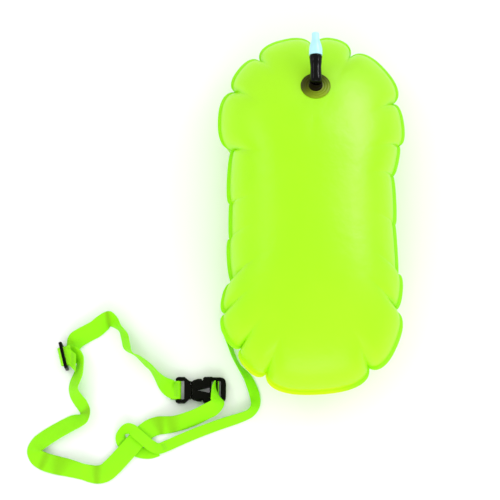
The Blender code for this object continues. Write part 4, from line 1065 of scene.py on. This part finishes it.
def make_anchor(film):
    """Welded disc and webbing loop on the back film."""
    welded_disc("anchor_disc", film, ANCHOR, FULL_DISC_PROFILE, False, "anchor_patch", "pvc_back")
    rows = [*ANCHOR_BAND, *((-q, n) for q, n in reversed(ANCHOR_BAND))]
    across = ANCHOR.to_3x3() @ Vector((1, 0, 0))
    stations = smooth_stations([(ANCHOR @ Vector((0, q, n)), across) for q, n in rows])
    place_piece(webbing_piece("anchor_band", stations, TETHER_WIDTH), "anchor_loop", "buoy")


def rounded(points, turn=5):
    """Outline in metres from corners (u, v, radius) in millimetres."""
    fine = []
    count = len(points)
    for i, (u, v, radius) in enumerate(points):
        here = Vector((u, v))
        before = Vector(points[i - 1][:2]) - here
        after = Vector(points[(i + 1) % count][:2]) - here
        reach = radius / tan(before.angle(after) / 2)
        reach = min(reach, CORNER_SHARE * before.length, CORNER_SHARE * after.length)
        start = here + before.normalized() * reach
        end = here + after.normalized() * reach
        for k in range(turn + 1):
            share = k / turn
            spot = start * (1 - share) ** 2 + here * (2 * share * (1 - share)) + end * share**2
            fine.append(spot * MM)
    return fine


def moulded(name, outlines, thickness, edge, place):
    """Moulded black plate with holes and rounded edges."""
    curve = bpy.data.curves.new(name, "CURVE")
    curve.dimensions = "2D"
    curve.fill_mode = "BOTH"
    curve.extrude = thickness / 2 - edge
    curve.bevel_depth = edge
    curve.bevel_resolution = 3
    curve.offset = -edge
    for outline in outlines:
        points = rounded(outline)
        spline = curve.splines.new("POLY")
        spline.points.add(len(points) - 1)
        for point, spot in zip(spline.points, points):
            point.co = (spot.x, spot.y, 0.0, 1.0)
        spline.use_cyclic_u = True
    holder = bpy.data.objects.new(name, curve)
    mesh = bpy.data.meshes.new_from_object(holder)
    bpy.data.objects.remove(holder)
    bpy.data.curves.remove(curve)
    shape = bmesh.new()
    shape.from_mesh(mesh)
    bpy.data.meshes.remove(mesh)
    bmesh.ops.remove_doubles(shape, verts=shape.verts, dist=2 * WELD_DISTANCE)
    bmesh.ops.transform(shape, matrix=place, verts=shape.verts)
    return new_piece(name, shape, "black_plastic")


def flipped(points):
    """The same outline on the other side."""
    return [(u, -v, radius) for u, v, radius in reversed(points)]


def mirrored(points):
    """Whole outline from its upper half."""
    return [*points, *flipped(points)]


BUCKLE_MIDDLE = (-0.152, -0.2287, 0.0058)
BUCKLE = Matrix.Translation(BUCKLE_MIDDLE)
# Outlines in the buckle's frame, in millimetres: each corner is (u, v, radius)
SOCKET_SIDE = (
    (-11.5, 10.6, 3), (-7, 13, 5), (3, 13, 0.7), (3, 16, 1.6), (5.2, 18, 2),
    (14.5, 18, 2.5), (17, 17.3, 3), (34.5, 17, 8.5),
)
SOCKET_SLOT = ((14.4, 13.5, 1.6), (27.5, 13.5, 3))
SOCKET_WINDOW = ((-8.4, 0, 0.4), (12.4, 4.4, 0.8), (12.4, -4.4, 0.8))
SOCKET_ROOM = (
    (-14, 20, 0.1), (2.9, 20, 0.1), (2.9, 11.5, 0.4), (6, 11.5, 0.8), (6, 15, 0.3),
    (12.5, 15, 1),
)
PRONG_SIDE = (
    (-22.6, 13.2, 1.4), (-34.3, 13.2, 1.4), (-34.3, 16.2, 2.4), (-31, 18, 2.8), (-22, 18, 3.2),
    (-15.4, 12.2, 3), (-12, 12, 1.6),
)
ARM_SIDE = (
    (-14.2, 8.8, 2.2), (-12.2, 6.6, 1.6), (-9.4, 7.2, 2), (10.8, 7.2, 0.8), (10.8, 10.8, 0.6),
    (7.4, 14.1, 0.5), (6.5, 14.1, 0.3), (6.5, 10.6, 0.6), (1.6, 10.6, 1), (1.6, 15.5, 1),
    (-4, 15.5, 4), (-10.2, 13.4, 2.5), (-13, 11, 1.5),
)
SLIDER_RIM = ((-18.8, 12, 2.6), (18.8, 12, 2.6))
SLIDER_HOLE = ((-14, 1.5, 1.4), (14, 1.5, 1.4), (14, 9, 1.4), (-14, 9, 1.4))

# Thickness and edge radius of each moulding, in metres
SOCKET_FORM = (0.011, 0.0016)
WINDOW_FORM = (0.013, 0.0)
ROOM_FORM = (0.0066, 0.0)
PRONG_FORM = (0.009, 0.0016)
ARM_FORM = (0.006, 0.0007)
SLIDER_FORM = (SLIDER_THICKNESS, 0.0014)
SOCKET_BAR_HALF = 0.0150
PRONG_BAR_HALF = 0.0152
# The round seats of the arms
ROOT_RADIUS = 0.0026
ROOT_X = -0.164
ROOT_SPAN = 0.0088
ROOT_REACH = (-0.001, 0.012)
ROD_SEGMENTS = 24


def rod(radius, start, end):
    """Round bar between two points."""
    wide = radius / MM
    long = (end - start).length / MM
    profile = ((0, 0), (wide, 0), (wide, long), (0, long))
    return new_piece("rod", turned(profile, frame_at(start, end - start), ROD_SEGMENTS), "black_plastic")


def cross_bar(middle, radius, half):
    """Round bar across a buckle half."""
    reach = Vector((0, half, 0))
    return rod(radius, middle - reach, middle + reach)


def make_socket():
    """Socket half: a sleeve with side openings, a V window, a slot and its bar."""
    outlines = [mirrored(SOCKET_SIDE), mirrored(SOCKET_SLOT)]
    socket = moulded("socket_half", outlines, *SOCKET_FORM, BUCKLE)
    carve(socket, moulded("window", [SOCKET_WINDOW], *WINDOW_FORM, BUCKLE))
    carve(socket, moulded("room", [mirrored(SOCKET_ROOM)], *ROOM_FORM, BUCKLE))
    carve(socket, cross_bar(SOCKET_BAR, SOCKET_BAR_RADIUS, SOCKET_BAR_HALF), "UNION")
    return socket


def make_prong():
    """Prong half: its frame, the belt's bar and the round seats of the arms."""
    prong = moulded("prong_half", [mirrored(PRONG_SIDE)], *PRONG_FORM, BUCKLE)
    carve(prong, cross_bar(PRONG_BAR, PRONG_BAR_RADIUS, PRONG_BAR_HALF), "UNION")
    for sign in (1, -1):
        y = BUCKLE_MIDDLE[1] + sign * ROOT_SPAN
        low, high = (Vector((ROOT_X, y, z)) for z in ROOT_REACH)
        carve(prong, rod(ROOT_RADIUS, low, high))
    return prong


def make_arm(name, outline):
    """Spring arm of the prong half."""
    return moulded("spring_arm_" + name, [outline], *ARM_FORM, BUCKLE)


def make_slider():
    """Slider with three bars, standing on its edge."""
    place = frame_at(SLIDER_MIDDLE, SLIDER_THROUGH, SLIDER_ALONG)
    outlines = [mirrored(SLIDER_RIM), SLIDER_HOLE, flipped(SLIDER_HOLE)]
    return moulded("slider_frame", outlines, *SLIDER_FORM, place)


def make_buckle():
    """Both halves of the side release buckle, its spring arms and the slider."""
    for piece, node, body in (
        (make_socket(), "buckle_socket", "buoy"),
        (make_prong(), "buckle_prong", "prong"),
        (make_arm("upper", ARM_SIDE), "buckle_arm_upper", "arm_upper"),
        (make_arm("lower", flipped(ARM_SIDE)), "buckle_arm_lower", "arm_lower"),
        (make_slider(), "belt_slider", "slider"),
    ):
        place_piece(piece, node, body)


# Stitches

STITCH_ROWS = (-0.0022, 0.0, 0.0022)
STITCH_PITCH = 0.0024
STITCH_HALF = 0.00095
STITCH_SLANT = 0.0005
STITCH_LIFT = 0.00035
STITCH_RADIUS = 0.00024
STITCH_MARGIN = 0.0028
# Shares of the thread's radius and of the stitch's length at each ring
STITCH_SHARES = ((0.25, 0.0), (0.75, 0.12), (1.0, 0.35), (1.0, 0.65), (0.75, 0.88), (0.25, 1.0))


def stitch(shape, start, end):
    """One stitch: a short round thread with pressed-in ends."""
    place = frame_at(start, end - start)
    length = (end - start).length
    rings = []
    for share, run in STITCH_SHARES:
        spots = circle(STITCH_RADIUS * share, run * length, 8)
        rings.append([shape.verts.new(place @ spot) for spot in spots])
    bridge_capped(shape, rings)


def make_stitches(strands):
    """Rows of thread through the sewn places, where the CAD has a plain bar."""
    for node, strand, width, body in (
        ("prong_stitches", "belt_front", BELT_WIDTH, "prong"),
        ("belt_stitches", "belt_front", BELT_WIDTH, "buoy"),
        ("tether_stitches", "tether", TETHER_WIDTH, "buoy"),
    ):
        low, high = (Vector(corner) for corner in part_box(node))
        middle = (low + high) / 2
        stations = strands[strand]
        nearest = min(range(1, len(stations) - 1), key=lambda k: (stations[k][0] - middle).length)
        place, across = stations[nearest]
        along = (stations[nearest + 1][0] - stations[nearest - 1][0]).normalized()
        out = along.cross(across).normalized()
        if out.dot(middle - place) < 0:
            out = -out
        shape = bmesh.new()
        half = width / 2 - STITCH_MARGIN
        count = round(2 * half / STITCH_PITCH)
        for row in STITCH_ROWS:
            line = place + out * (WEB_THICKNESS / 2 + STITCH_LIFT) + along * row
            for k in range(count):
                spot = line + across * ((2 * k + 1 - count) / count * half)
                slant = along * (STITCH_SLANT if k % 2 else -STITCH_SLANT)
                reach = across * STITCH_HALF
                stitch(shape, spot - reach + slant, spot + reach - slant)
        piece = new_piece("thread_" + node.split("_")[0], shape, "thread")
        place_piece(piece, node, body)


def dress_nodes():
    """Better materials for the two solids that stay as they are."""
    for node, slot in (("valve_core", "black_plastic"), ("core_seal", "seal_rubber")):
        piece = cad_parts[node]
        piece.data.materials.clear()
        piece.data.materials.append(MATERIALS[slot])


make_camera()
make_stage()
STRANDS = make_cords()
FRONT, BACK = make_bladder()
make_valve(FRONT)
make_anchor(BACK)
make_buckle()
make_stitches(STRANDS)
dress_nodes()
